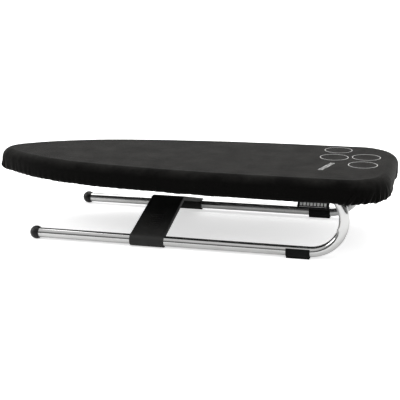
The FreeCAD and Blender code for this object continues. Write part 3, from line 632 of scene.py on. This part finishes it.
def plan_pieces(plan):
    """The far half of the outline from the nose tip to the tail, as tangent arcs and straight lines."""
    half, tip, tail = COVER_HIGH.y, COVER_LOW.x, COVER_HIGH.x
    angle = math.radians(plan.nose_angle)
    sine, cosine = math.sin(angle), math.cos(angle)
    shoulder = (half - plan.shoulder_gap - plan.nose * sine) / (1 - sine)
    side_x = tip + plan.taper
    shoulder_x = tip + plan.nose + (shoulder - plan.nose) * cosine
    shoulder_y = -(shoulder - plan.nose) * sine
    along, across = side_x - shoulder_x, half - shoulder_y
    flank = (along ** 2 + across ** 2 - shoulder ** 2) / (2 * (across - shoulder))
    meet = math.pi - math.atan2(shoulder_y - (half - flank), side_x - shoulder_x)
    corner_x, corner_y = tail - plan.corner, half - plan.corner
    return [
        ("arc", (tip + plan.nose, 0), plan.nose, math.pi, math.pi - angle),
        ("arc", (shoulder_x, shoulder_y), shoulder, math.pi - angle, meet),
        ("arc", (side_x, half - flank), flank, meet, math.pi / 2),
        ("line", (side_x, half), (corner_x, half), (0, 1)),
        ("arc", (corner_x, corner_y), plan.corner, math.pi / 2, 0),
        ("line", (tail, corner_y), (tail, 0), (1, 0)),
    ]


def plan_outline(plan, columns):
    """Points, outward normals, arc length and curvature round the board, closer together on tight arcs."""
    steps, closer = 400, 2.1
    samples = []
    for piece in plan_pieces(plan):
        if piece[0] == "arc":
            _, centre, radius, start, end = piece
            tight = radius < 2 * plan.corner
            for t in np.linspace(0, 1, steps, endpoint=False):
                a = start + (end - start) * t
                out = (math.cos(a), math.sin(a))
                samples.append((centre[0] + radius * out[0], centre[1] + radius * out[1], *out,
                                1 / radius, closer if tight else 1.0))
        else:
            _, start, end, out = piece
            for t in np.linspace(0, 1, steps, endpoint=False):
                samples.append((start[0] + (end[0] - start[0]) * t, start[1] + (end[1] - start[1]) * t,
                                *out, 0.0, 1.0))
    samples.append((COVER_HIGH.x, 0, 1, 0, 0.0, 1.0))
    samples = np.array(samples)
    step = np.hypot(*np.diff(samples[:, :2], axis=0).T)
    weighted = np.concatenate([[0], np.cumsum(step * (samples[1:, 5] + samples[:-1, 5]) / 2)])
    length = np.concatenate([[0], np.cumsum(step)])
    at = np.linspace(0, weighted[-1], columns // 2 + 1)
    half = np.stack([np.interp(at, weighted, samples[:, k]) for k in range(5)]
                    + [np.interp(at, weighted, length)], axis=1)
    near = half[1:-1][::-1] * [1, -1, 1, -1, 1, 1]
    near[:, 5] = 2 * length[-1] - near[:, 5]
    full = np.concatenate([half, near])[::-1]
    normals = full[:, 2:4] / np.linalg.norm(full[:, 2:4], axis=1, keepdims=True)
    return full[:, :2], normals, full[:, 5], full[:, 4]


def smoothed(values, steps):
    """A ring of values, averaged round about each."""
    for _ in range(steps):
        values = (np.roll(values, 1) + 2 * values + np.roll(values, -1)) / 4
    return values


# ---------------------------------------------------------------- cover

def skirt_rows(cover, reach, tight):
    """Rows of the skirt round the board: inset, height, and the outward and upward parts of the normal."""
    top, low = COVER_HIGH.z, COVER_LOW.z
    crown, edge, still = cover.crown + 3 * MM * tight, cover.edge, np.zeros_like(reach)
    rows = [(crown + gap, top, 0, 1) for gap in (8 * MM, 4 * MM)]
    rows += [(crown * (1 - math.sin(a)), top - crown * (1 - math.cos(a)), math.sin(a), math.cos(a))
             for a in np.linspace(0, math.pi / 2, 13)]
    rows += [(0, (top - crown) * (1 - t) + (low + edge) * t, 1, 0) for t in np.linspace(0, 1, 11)[1:]]
    rows += [(edge * (1 - math.cos(a)), low + edge * (1 - math.sin(a)), math.cos(a), -math.sin(a))
             for a in np.linspace(0, math.pi / 2, 10)[1:]]
    rows += [(edge + reach * t, low + 0.4 * MM * t, 0, -1) for t in (0.25, 0.5, 0.75, 1.0)]
    inset, height = (np.array([still + row[k] for row in rows]) for k in (0, 1))
    return inset, height, [row[2] for row in rows], [row[3] for row in rows]


def clear_of_tubes(points):
    """0 beside the tubes that rise through the hem, 1 away from them."""
    past_bend, stretch, beside, change = 34 * MM, 1.6, 22 * MM, 24 * MM
    tube_x = TUBE_HIGH.x - (TUBE_HIGH.z - TUBE_LOW.z) / 2
    away = np.hypot((points[:, 0] - tube_x - past_bend) / stretch, np.abs(points[:, 1]) - COVER_HIGH.y)
    free = np.clip((away - beside) / change, 0, 1)
    return free * free * (3 - 2 * free)


def skirt_folds(arc, spare, depth, rng):
    """How far the cloth stands off at each depth: ridges from the elastic that lean to the corners."""
    corner_inset, lean_reach, lean_end, lean_most = 30 * MM, 55 * MM, 85 * MM, 34 * MM
    tail_share, full_depth, valley = 0.45, 0.78, 0.32
    total = arc.max() * (1 + 1 / len(arc))
    order = np.argsort(arc)
    tail = total / 2
    reach = COVER_HIGH.y - corner_inset
    corners = (tail - reach, tail + reach)
    off = np.zeros((len(depth), len(arc)))
    place = 0.0
    while place < total:
        slack = float(np.interp(place, arc[order], spare[order], period=total))
        half = (4.4 + 3.8 * rng.random() - 1.2 * slack + 5 * (slack < 0.2) * rng.random()) * MM
        corner = min(corners, key=lambda s: abs(s - place))
        pull = np.clip((corner - place) / lean_reach, -1, 1) * (abs(corner - place) < lean_end)
        lean = lean_most * pull + rng.normal(0, 2.5) * MM
        fullness = max(slack, 0.8 * abs(pull)) * (tail_share if abs(place - tail) < reach else 1.0)
        rise = half * (0.07 + 0.95 * fullness) * rng.uniform(0.55, 1.25)
        start = rng.uniform(0.12, 0.5) if slack > 0.25 else rng.uniform(0.0, 0.6)
        share = np.clip((depth - start) / (full_depth - start), 0, 1) ** 1.25
        across = (arc[None, :] - place - lean * (1 - depth[:, None]) + total / 2) % total - total / 2
        u = np.clip(np.abs(across) / (half * (1.25 - 0.25 * depth[:, None])), 0, 1)
        off += rise * share[:, None] * (np.cos(math.pi * u / 2) ** 2 - valley * (u < 1))
        place += half * rng.uniform(1.2, 2.1)
    return off


def skirt_points(cover, plan):
    """The skirt, the cloth laid flat, the board's form inside, distances along the cloth and round it."""
    short_hem, valley, under = 1.3 * MM, 0.4 * MM, 1.5 * MM
    rng = np.random.default_rng(11)
    points, normals, arc, curvature = plan_outline(plan, cover.columns)
    free = clear_of_tubes(points)
    corner_curve, slack_curve = 14, 0.052
    tight = smoothed(np.clip(curvature / corner_curve, 0, 1), 60) * free
    fuller = tight * (points[:, 0] > 0)
    spare = smoothed(np.clip(curvature * slack_curve, 0, 1.0), 40)
    reach = short_hem + (cover.hem_reach - short_hem) * free
    inset, height, outward, upward = skirt_rows(cover, reach, tight)
    step = np.hypot(np.diff(inset, axis=0), np.diff(height, axis=0))
    run = np.concatenate([np.zeros((1, len(arc))), np.cumsum(step, axis=0)])
    down = run.mean(axis=1)
    depth = np.clip((down - down[4]) / (down[-5] - down[4]), 0, 1)
    bulge = MM * np.sin(math.pi * depth)[:, None]
    off = skirt_folds(arc, spare, depth, rng)
    off = np.where(off < 0, valley * np.tanh(off / valley), off)
    off += (0.4 + 1.7 * fuller)[None, :] * bulge
    off += 0.35 * bulge * np.sin(arc * 37 + 1.7 * np.sin(arc * 13))
    wave = (0.55 * np.sin(arc * 61 + 2.1 * np.sin(arc * 23)) + 2 * fuller) * MM * depth[:, None] ** 3
    worn, flat, bare = [], [], []
    for row in range(len(inset)):
        out = off[row] * outward[row] - inset[row]
        up = height[row] + off[row] * upward[row] * 0.7 + wave[row]
        worn.append(np.column_stack([points + normals * out[:, None], up]))
        laid = points + normals * (run[row] - inset[0])[:, None]
        flat.append(np.column_stack([laid, np.full(len(points), COVER_HIGH.z)]))
        in_a_little = points - normals * (inset[row] + under * outward[row])[:, None]
        bare.append(np.column_stack([in_a_little, height[row] - under * upward[row]]))
    return np.array(worn), np.array(flat), np.array(bare), down, arc


def top_rings(first_ring):
    """Rings that close the top down to the board's middle line."""
    start, end = COVER_LOW.x + 60 * MM, COVER_HIGH.x - 100 * MM
    centre = np.column_stack([np.clip(first_ring[:, 0], start, end), np.zeros(len(first_ring)),
                              np.full(len(first_ring), COVER_HIGH.z)])
    return [centre + (first_ring - centre) * share for share in (0.0, 0.2, 0.4, 0.6, 0.8)]


def settle(worn, flat, bare):
    """Settle the skirt a little as cloth: cut flat, held on top and at the elastic, over a form."""
    last, applied, furthest = 8, 0.4, 3 * MM
    rows, columns = worn.shape[:2]
    trial = new_object("skirt_trial", mesh_from("skirt_trial", worn.reshape(-1, 3), strip(columns, rows)))
    trial.shape_key_add(name="worn")
    laid = trial.shape_key_add(name="flat")
    laid.data.foreach_set("co", flat.astype(np.float32).ravel())
    pins = trial.vertex_groups.new(name="pins")
    held = [row * columns + column for row in (0, 1, 2, rows - 3, rows - 2, rows - 1)
            for column in range(columns)]
    pins.add(held, 1.0, "REPLACE")
    cloth = trial.modifiers.new("cloth", "CLOTH")
    made = cloth.settings
    made.quality = 4
    made.mass = 0.2
    made.tension_stiffness, made.compression_stiffness = 18, 12
    made.shear_stiffness, made.bending_stiffness = 4, 0.02
    made.tension_damping = made.compression_damping = 12
    made.air_damping = 8
    made.vertex_group_mass = "pins"
    made.rest_shape_key = laid
    made.effector_weights.gravity = 0
    cloth.collision_settings.distance_min = 0.5 * MM
    cloth.collision_settings.use_self_collision = False
    turned_in = len(bare) - 4
    faces = strip(columns, turned_in) + [tuple(range(columns))[::-1],
                                         tuple(range((turned_in - 1) * columns, turned_in * columns))]
    mesh = mesh_from("board_form", bare[:turned_in].reshape(-1, 3), faces)
    outwards(mesh)
    form = new_object("board_form", mesh)
    form.modifiers.new("collision", "COLLISION")
    form.collision.thickness_outer = 0.5 * MM
    cloth.point_cache.frame_start, cloth.point_cache.frame_end = 1, last
    scene = bpy.context.scene
    for number in range(1, last + 1):
        scene.frame_set(number)
    settled = trial.evaluated_get(bpy.context.evaluated_depsgraph_get()).to_mesh()
    places = np.zeros(len(settled.vertices) * 3, np.float32)
    settled.vertices.foreach_get("co", places)
    scene.frame_set(1)
    for gone in (trial, form):
        bpy.data.objects.remove(gone)
    moved = places.reshape(rows, columns, 3) - worn
    far = np.linalg.norm(moved, axis=2, keepdims=True)
    return worn + applied * moved * np.minimum(1, furthest / np.maximum(far, 1e-9))


def make_cover_piece(cover, plan):
    """The cloth: the top closed to the middle line, and the settled skirt."""
    worn, flat, bare, run, arc = skirt_points(cover, plan)
    worn = settle(worn, flat, bare)
    rings = top_rings(worn[0])
    count, inner = cover.columns, len(rings)
    points = np.concatenate([np.concatenate(rings), worn.reshape(-1, 3)])
    rows = inner + len(worn)
    mesh = mesh_from("cloth_cover", points, strip(count, rows))
    lay_cloth_map(mesh, points, count, inner, run, arc)
    area = flat_area(flat[-1])
    outwards(mesh)
    piece = new_object("cloth_cover", mesh)
    thick = piece.modifiers.new("cloth", "SOLIDIFY")
    thick.thickness, thick.offset = cover.sheet, -1
    return piece, worn, flat[-1], area, arc


def lay_cloth_map(mesh, points, count, inner, run, arc):
    """Coordinates along the two yarns, in metres: flat on the top, round and down on the skirt."""
    mapped = np.zeros((len(points), 2))
    top = (inner + 2) * count
    mapped[:top] = points[:top, :2]
    for row in range(2, len(run)):
        start = (inner + row) * count
        mapped[start:start + count] = np.column_stack([arc, np.full(count, run[row])])
    write_map(mesh, mapped)


def write_map(mesh, mapped):
    """Store a pair of cloth coordinates for each point."""
    layer = mesh.uv_layers.new(name="cloth")
    corners = np.zeros(len(mesh.loops), np.int32)
    mesh.loops.foreach_get("vertex_index", corners)
    layer.data.foreach_set("uv", mapped[corners].astype(np.float32).ravel())


def flat_area(ring):
    """Area inside a closed flat ring of points."""
    x, y = ring[:, 0], ring[:, 1]
    return abs(float(np.dot(x, np.roll(y, -1)) - np.dot(y, np.roll(x, -1)))) / 2


def make_hem_band_piece(cover, worn, arc):
    """The elastic's casing: a rolled, puckered edge along the inside of the hem."""
    last, before = worn[-1], worn[-2]
    inward = last[:, :2] - before[:, :2]
    inward /= np.linalg.norm(inward, axis=1, keepdims=True)
    sides, rows = 12, []
    pucker = 1 + 0.22 * np.sin(arc * 900 + 3 * np.sin(arc * 140)) + 0.12 * np.sin(arc * 2300)
    radius = 1.2 * MM
    for side in range(sides + 1):
        angle = 2 * math.pi * side / sides
        out = (radius * 0.55 - radius * math.cos(angle)) * pucker
        up = last[:, 2] + radius * 0.9 + radius * 1.15 * math.sin(angle) * pucker
        rows.append(np.column_stack([last[:, :2] + inward * out[:, None], up]))
    rings = np.array(rows)
    mesh = mesh_from("hem_casing", rings.reshape(-1, 3), strip(cover.columns, sides + 1))
    write_map(mesh, np.concatenate([np.column_stack([arc, np.full(len(arc), side * 0.8 * MM)])
                                    for side in range(sides + 1)]))
    outwards(mesh)
    return new_object("hem_casing", mesh)


def stitch_path(name, ring):
    """A closed mesh line along one ring of points, for the stitches to follow."""
    mesh = bpy.data.meshes.new(name)
    count = len(ring)
    mesh.from_pydata([tuple(p) for p in ring], [(n, (n + 1) % count) for n in range(count)], [])
    return new_object(name, mesh)


# ---------------------------------------------------------------- geometry nodes

def node_tree(name, inputs):
    """A geometry tree with named inputs, its input node and its output socket."""
    tree = bpy.data.node_groups.new(name, "GeometryNodeTree")
    tree.interface.new_socket("Geometry", in_out="INPUT", socket_type="NodeSocketGeometry")
    for label, kind, value in inputs:
        socket = tree.interface.new_socket(label, in_out="INPUT", socket_type=f"NodeSocket{kind}")
        if value is not None:
            socket.default_value = value
    tree.interface.new_socket("Geometry", in_out="OUTPUT", socket_type="NodeSocketGeometry")
    return tree, tree.nodes.new("NodeGroupInput").outputs, tree.nodes.new("NodeGroupOutput").inputs[0]


def set_inputs(modifier, **values):
    """Set a modifier's named inputs by their sockets' identifiers."""
    sockets = {item.name: item.identifier for item in modifier.node_group.interface.items_tree
               if item.item_type == "SOCKET" and item.in_out == "INPUT"}
    for name, value in values.items():
        modifier[sockets[name.replace("_", " ")]] = value


def grown(name, source, tree, **values):
    """Run a geometry tree on a source object and keep the result as a plain mesh."""
    modifier = source.modifiers.new(name, "NODES")
    modifier.node_group = tree
    set_inputs(modifier, **values)
    depsgraph = bpy.context.evaluated_depsgraph_get()
    mesh = bpy.data.meshes.new_from_object(source.evaluated_get(depsgraph))
    source.modifiers.remove(modifier)
    bpy.data.objects.remove(source)
    mesh.name = name
    return new_object(name, mesh)


def stitches_tree():
    """Short thread stitches at a pitch along a line, each a small barrel lying along it."""
    tree, given, out = node_tree("stitches_on_line", [
        ("Pitch", "Float", 0.0032), ("Stitch", "Float", 0.0023), ("Thread", "Float", 0.0004),
        ("Seed", "Int", 3), ("Material", "Material", None)])
    curve = add(tree, "GeometryNodeMeshToCurve", None, i0=given["Geometry"]).outputs[0]
    spaced = add(tree, "GeometryNodeCurveToPoints", {"mode": "LENGTH"}, Curve=curve, Length=given["Pitch"])
    barrel = add(tree, "GeometryNodeMeshUVSphere", None, Segments=6, Rings=4, Radius=0.5)
    slim = add(tree, "GeometryNodeTransform", None, Geometry=barrel.outputs["Mesh"])
    size = add(tree, "ShaderNodeCombineXYZ", None, X=given["Thread"], Y=given["Thread"], Z=given["Stitch"])
    tree.links.new(size.outputs[0], slim.inputs["Scale"])
    lean = add(tree, "FunctionNodeRandomValue", {"data_type": "FLOAT_VECTOR"})
    feed(tree, lean.inputs[0], (-0.09, -0.09, -0.09))
    feed(tree, lean.inputs[1], (0.09, 0.09, 0.09))
    feed(tree, lean.inputs["Seed"], given["Seed"])
    aimed = add(tree, "FunctionNodeAlignRotationToVector", {"axis": "Z"}, Vector=spaced.outputs["Tangent"])
    turned = add(tree, "FunctionNodeRotateRotation", None, i0=aimed.outputs[0], i1=lean.outputs[0])
    placed = add(tree, "GeometryNodeInstanceOnPoints", None, Points=spaced.outputs["Points"],
                 Instance=slim.outputs[0], Rotation=turned.outputs[0])
    real = add(tree, "GeometryNodeRealizeInstances", None, i0=placed.outputs[0])
    smooth = add(tree, "GeometryNodeSetShadeSmooth", None, i0=real.outputs[0])
    done = add(tree, "GeometryNodeSetMaterial", None, Geometry=smooth.outputs[0],
               Material=given["Material"])
    tree.links.new(done.outputs[0], out)
    return tree


def domes_tree():
    """A low dome on every point of the source, such as a rivet head or a spot weld."""
    tree, given, out = node_tree("domes_on_points", [
        ("Radius", "Float", 0.004), ("Rise", "Float", 0.001), ("Material", "Material", None)])
    ball = add(tree, "GeometryNodeMeshUVSphere", None, Segments=20, Rings=12, Radius=1.0)
    low = add(tree, "GeometryNodeTransform", None, Geometry=ball.outputs["Mesh"])
    size = add(tree, "ShaderNodeCombineXYZ", None, X=given["Radius"], Y=given["Radius"], Z=given["Rise"])
    tree.links.new(size.outputs[0], low.inputs["Scale"])
    placed = add(tree, "GeometryNodeInstanceOnPoints", None, Points=given["Geometry"],
                 Instance=low.outputs[0])
    real = add(tree, "GeometryNodeRealizeInstances", None, i0=placed.outputs[0])
    smooth = add(tree, "GeometryNodeSetShadeSmooth", None, i0=real.outputs[0])
    done = add(tree, "GeometryNodeSetMaterial", None, Geometry=smooth.outputs[0],
               Material=given["Material"])
    tree.links.new(done.outputs[0], out)
    return tree


def point_cloud(name, places):
    """Loose points for a geometry tree to work on."""
    return new_object(name, mesh_from(name, places, []))


# ---------------------------------------------------------------- operators

class BuildStudio(bpy.types.Operator):
    """Camera, floor and soft light"""
    bl_idname = "board.build_studio"
    bl_label = "Studio"

    def execute(self, context):
        studio = context.scene.board_studio
        self.add_camera(context.scene, studio)
        self.add_floor(studio)
        self.add_lights(context.scene, studio)
        context.scene.view_settings.view_transform = "Standard"
        return {"FINISHED"}

    def add_camera(self, scene, studio):
        turn, rise, roll = (math.radians(v) for v in (studio.azimuth, studio.elevation, studio.roll))
        back = Vector((math.sin(turn) * math.cos(rise), -math.cos(turn) * math.cos(rise), math.sin(rise)))
        level = Vector((math.cos(turn), math.sin(turn), 0))
        up = back.cross(level)
        right = math.cos(roll) * level + math.sin(roll) * up
        camera = bpy.data.objects.new("camera", bpy.data.cameras.new("camera"))
        scene.collection.objects.link(camera)
        axes = Matrix((right, back.cross(right), back)).transposed().to_4x4()
        camera.matrix_world = Matrix.Translation(Vector(studio.target) + back * studio.distance) @ axes
        camera.data.lens = studio.lens
        scene.camera = camera

    def add_floor(self, studio):
        reach, rise, bend = 6.0, 4.0, 1.2
        rows = [(-reach, 0.0), (reach - bend, 0.0)]
        rows += [(reach - bend + bend * math.sin(a), bend * (1 - math.cos(a)))
                 for a in np.linspace(0, math.pi / 2, 10)[1:]]
        rows.append((reach, rise))
        points = [(x, y, z) for y, z in rows for x in (-2 * reach, 2 * reach)]
        faces = [(2 * n, 2 * n + 1, 2 * n + 3, 2 * n + 2) for n in range(len(rows) - 1)]
        floor = new_object("floor", mesh_from("floor", points, faces))
        floor.data.materials.append(floor_material(studio))

    def add_lights(self, scene, studio):
        world = bpy.data.worlds.new("room")
        world.use_nodes = True
        tree = world.node_tree
        way = add(tree, "ShaderNodeTexCoord").outputs["Generated"]
        split = add(tree, "ShaderNodeSeparateXYZ", None, i0=way)
        turn = math.radians(studio.azimuth)
        front = add(tree, "ShaderNodeVectorMath", {"operation": "DOT_PRODUCT"}, i0=way,
                    i1=(math.sin(turn), -math.cos(turn), 0))
        wall = spread(tree, front.outputs["Value"], -0.5, 0.6, 0.9, 0.15)
        ceiling = spread(tree, split.outputs["Z"], 0.25, 0.7, 0.0, 1.0)
        below = maths(tree, "MULTIPLY", wall, maths(tree, "SUBTRACT", 1.0, ceiling))
        share = maths(tree, "ADD", below, ceiling)
        sky = tree.nodes["Background"]
        seen = add(tree, "ShaderNodeLightPath").outputs["Is Camera Ray"]
        sky.inputs["Color"].default_value = (1, 1, 1, 1)
        lit = maths(tree, "MULTIPLY", share, studio.sky)
        feed(tree, sky.inputs["Strength"], maths(tree, "MAXIMUM", lit, seen))
        scene.world = world
        left = studio.side * 1.3
        for name, size, power, place, aim in (
                ("overhead", (2.4, 1.8), studio.overhead, (0.1, 0.55, 2.0), (0, 0, 0.1)),
                ("left", (1.5, 1.1), left, (-2.3, -0.6, 1.3), (-0.3, 0, 0.12)),
                ("right", (1.5, 1.1), studio.side, (2.3, -0.6, 1.3), (0.3, 0, 0.12))):
            data = bpy.data.lights.new(name, "AREA")
            data.shape, data.size, data.size_y, data.energy = "RECTANGLE", size[0], size[1], power
            light = bpy.data.objects.new(name, data)
            scene.collection.objects.link(light)
            light.location = place
            light.rotation_euler = (Vector(aim) - Vector(place)).to_track_quat("-Z", "Y").to_euler()


class BuildCover(bpy.types.Operator):
    """Cloth cover with its gathered hem, elastic casing and stitches"""
    bl_idname = "board.build_cover"
    bl_label = "Cover"

    def execute(self, context):
        cover, plan = context.scene.board_cover, context.scene.board_plan
        piece, worn, cut, area, arc = make_cover_piece(cover, plan)
        finish_piece(piece, cloth_material(cover), "cover_cloth", "cover")
        casing = make_hem_band_piece(cover, worn, arc)
        finish_piece(casing, elastic_material(cover), "hem_band", "hem_elastic")
        thread = moulded_material("hem_thread", (0.03, 0.03, 0.03), 0.6, 1500.0, 0.00003, 0.0, 0.3)
        line = stitch_path("hem_stitch_line", worn[-5] - [0, 0, 0.25 * MM])
        stitches = grown("hem_stitches", line, stitches_tree(), Pitch=3.4 * MM, Stitch=2.5 * MM,
                         Thread=0.55 * MM, Seed=3, Material=thread)
        finish_piece(stitches, thread, "hem_band")
        return {"FINISHED"}


class BuildPad(bpy.types.Operator):
    """Felt pad between the tray and the cloth"""
    bl_idname = "board.build_pad"
    bl_label = "Felt pad"

    def execute(self, context):
        plan, base = context.scene.board_plan, context.scene.board_base
        low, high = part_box("felt_pad")
        points, normals, _, _ = plan_outline(plan, 360)
        start = COVER_HIGH.y - high.y
        thick = high.z - low.z
        edge = thick * 0.9
        rows = [(start + edge * 0.25, low.z + 0.05 * MM), (start, low.z + thick * 0.15)]
        rows += [(start + edge * (1 - math.cos(a)), high.z - 0.15 * MM - edge * 0.8 * (1 - math.sin(a)))
                 for a in np.linspace(0, math.pi / 2, 6)]
        rings = [np.column_stack([points - normals * inset, np.full(len(points), height)])
                 for inset, height in rows]
        count = len(points)
        under, over = tuple(range(count)), tuple(range((len(rows) - 1) * count, len(rows) * count))
        mesh = mesh_from("felt", np.concatenate(rings), strip(count, len(rows)) + [under, over[::-1]])
        outwards(mesh)
        piece = finish_piece(new_object("felt", mesh), felt_material(base), "felt", "felt_pad")
        return {"FINISHED"}


class BuildLegs(bpy.types.Operator):
    """Chromed leg tubes with their caps and plugs"""
    bl_idname = "board.build_legs"
    bl_label = "Legs"

    def execute(self, context):
        base = context.scene.board_base
        chrome = chrome_material(base)
        rubber = moulded_material("cap_rubber", tuple(base.rubber), 0.42, 1400.0, 0.00002, 0.02, 0.3)
        for side in SIDES:
            self.add_tube(side, base, chrome)
            self.add_cap(side, rubber)
            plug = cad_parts[f"{side}_end_plug"]
            plug.data.materials.clear()
            plug.data.materials.append(rubber)
        return {"FINISHED"}

    def add_tube(self, side, base, chrome):
        low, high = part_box(f"{side}_leg_tube")
        radius, y = base.tube / 2, (low.y + high.y) / 2
        bottom, top = low.z + radius, high.z - radius
        bend = (top - bottom) / 2
        bend_x = high.x - radius - bend
        upper_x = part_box(f"{side}_end_plug")[0].x + 3 * MM
        path = [(x, y, bottom) for x in np.linspace(low.x, bend_x, 24, endpoint=False)]
        path += [(bend_x + bend * math.sin(a), y, bottom + bend * (1 - math.cos(a)))
                 for a in np.linspace(0, math.pi, 64)]
        path += [(x, y, top) for x in np.linspace(bend_x, upper_x, 12)[1:]]
        piece = swept_tube(f"{side}_chrome_tube", path, radius, radius - base.wall)
        sharpen(piece.data, 60)
        finish_piece(piece, chrome, "chrome_tube", f"{side}_leg_tube")

    def add_cap(self, side, rubber):
        """Ball with a parting line round its middle and a rolled rim."""
        low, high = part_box(f"{side}_ball_cap")
        radius = (high.z - low.z) / 2
        centre = Vector((low.x + radius, (low.y + high.y) / 2, (low.z + high.z) / 2))
        rim = high.x - centre.x
        last = math.acos(rim / radius)
        profile = []
        for a in np.linspace(math.pi - 0.02, last, 40):
            groove = 0.22 * MM * math.exp(-((a - math.pi / 2) / 0.035) ** 2)
            profile.append(((radius - groove) * math.cos(a), (radius - groove) * math.sin(a)))
        outer = profile[-1][1]
        roll, bore = 0.5 * MM, 9.1 * MM
        profile += [(rim - roll * 0.2 + roll * 0.2 * math.sin(a), outer - roll * (1 - math.cos(a)))
                    for a in np.linspace(0.3, math.pi / 2, 4)]
        profile += [(rim - 0.1 * MM, bore + 0.2 * MM), (rim - 0.6 * MM, bore), (rim - 9 * MM, bore)]
        piece = lathe(f"{side}_ball", profile, centre)
        finish_piece(piece, rubber, "cap_rubber", f"{side}_ball_cap")


class FinishFittings(bpy.types.Operator):
    """Materials of the moulded and pressed fittings, and their rivets and welds"""
    bl_idname = "board.finish_fittings"
    bl_label = "Fittings"

    def execute(self, context):
        base = context.scene.board_base
        plastic = moulded_material("black_plastic", tuple(base.plastic), 0.6, 800.0, 0.00006, 0.05, 0.3)
        sole = moulded_material("foot_rubber", tuple(base.rubber), 0.65, 1000.0, 0.00004, 0.015, 0.14)
        steel, zinc = coated_steel_material(base), zinc_material(base)
        finishes = {"crossbar": plastic, "tube_label": label_material(), "tray": steel,
                    "centre_stringer": steel, "front_brace": steel, "rear_brace": steel}
        for side in SIDES:
            finishes[f"{side}_foot_pad"] = sole
            for end in ("front", "rear"):
                finishes[f"{side}_{end}_clamp"] = zinc
        for name, material in finishes.items():
            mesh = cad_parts[name].data
            mesh.materials.clear()
            mesh.materials.append(material)
        self.add_rivets(zinc)
        self.add_welds(base, steel)
        return {"FINISHED"}

    def add_rivets(self, zinc):
        low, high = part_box("clamp_rivets")
        head = 4.25 * MM
        clamps = [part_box(f"{side}_{end}_clamp") for side in SIDES for end in ("front", "rear")]
        places = [((box[0].x + box[1].x) / 2, math.copysign(high.y - head, (box[0].y + box[1].y) / 2),
                   low.z + 1.3 * MM) for box in clamps]
        piece = grown("rivet_heads", point_cloud("rivet_places", places), domes_tree(), Radius=head,
                      Rise=1.3 * MM, Material=zinc)
        finish_piece(piece, zinc, "clamp_steel", "clamp_rivets")

    def add_welds(self, base, steel):
        low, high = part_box("centre_stringer")
        sheet, flange = 1.2 * MM, 5 * MM
        places = [(x, side * (high.y - flange), high.z - sheet)
                  for x in np.arange(low.x + flange * 2, high.x - flange, base.weld_pitch)
                  for side in SIDES.values()]
        piece = grown("spot_welds", point_cloud("weld_places", places), domes_tree(), Radius=2.6 * MM,
                      Rise=0.28 * MM, Material=steel)
        finish_piece(piece, steel, "tray_steel")


OPERATORS = (BuildStudio, BuildCover, BuildPad, BuildLegs, FinishFittings)


class BoardPanel(bpy.types.Panel):
    """Buttons that build the board's looks"""
    bl_idname = "VIEW3D_PT_ironing_board"
    bl_label = "Ironing board"
    bl_space_type = "VIEW_3D"
    bl_region_type = "UI"
    bl_category = "Ironing board"

    def draw(self, context):
        for operator in OPERATORS:
            self.layout.operator(operator.bl_idname)


def register():
    for cls in (*GROUPS.values(), *OPERATORS, BoardPanel):
        bpy.utils.register_class(cls)
    for name, group in GROUPS.items():
        setattr(bpy.types.Scene, name, PointerProperty(type=group))


def unregister():
    for name in GROUPS:
        delattr(bpy.types.Scene, name)
    for cls in reversed((*GROUPS.values(), *OPERATORS, BoardPanel)):
        bpy.utils.unregister_class(cls)


def main():
    register()
    build_groups()
    bpy.ops.board.build_studio()
    bpy.ops.board.build_cover()
    bpy.ops.board.build_pad()
    bpy.ops.board.build_legs()
    bpy.ops.board.finish_fittings()


if __name__ == "__main__":
    main()
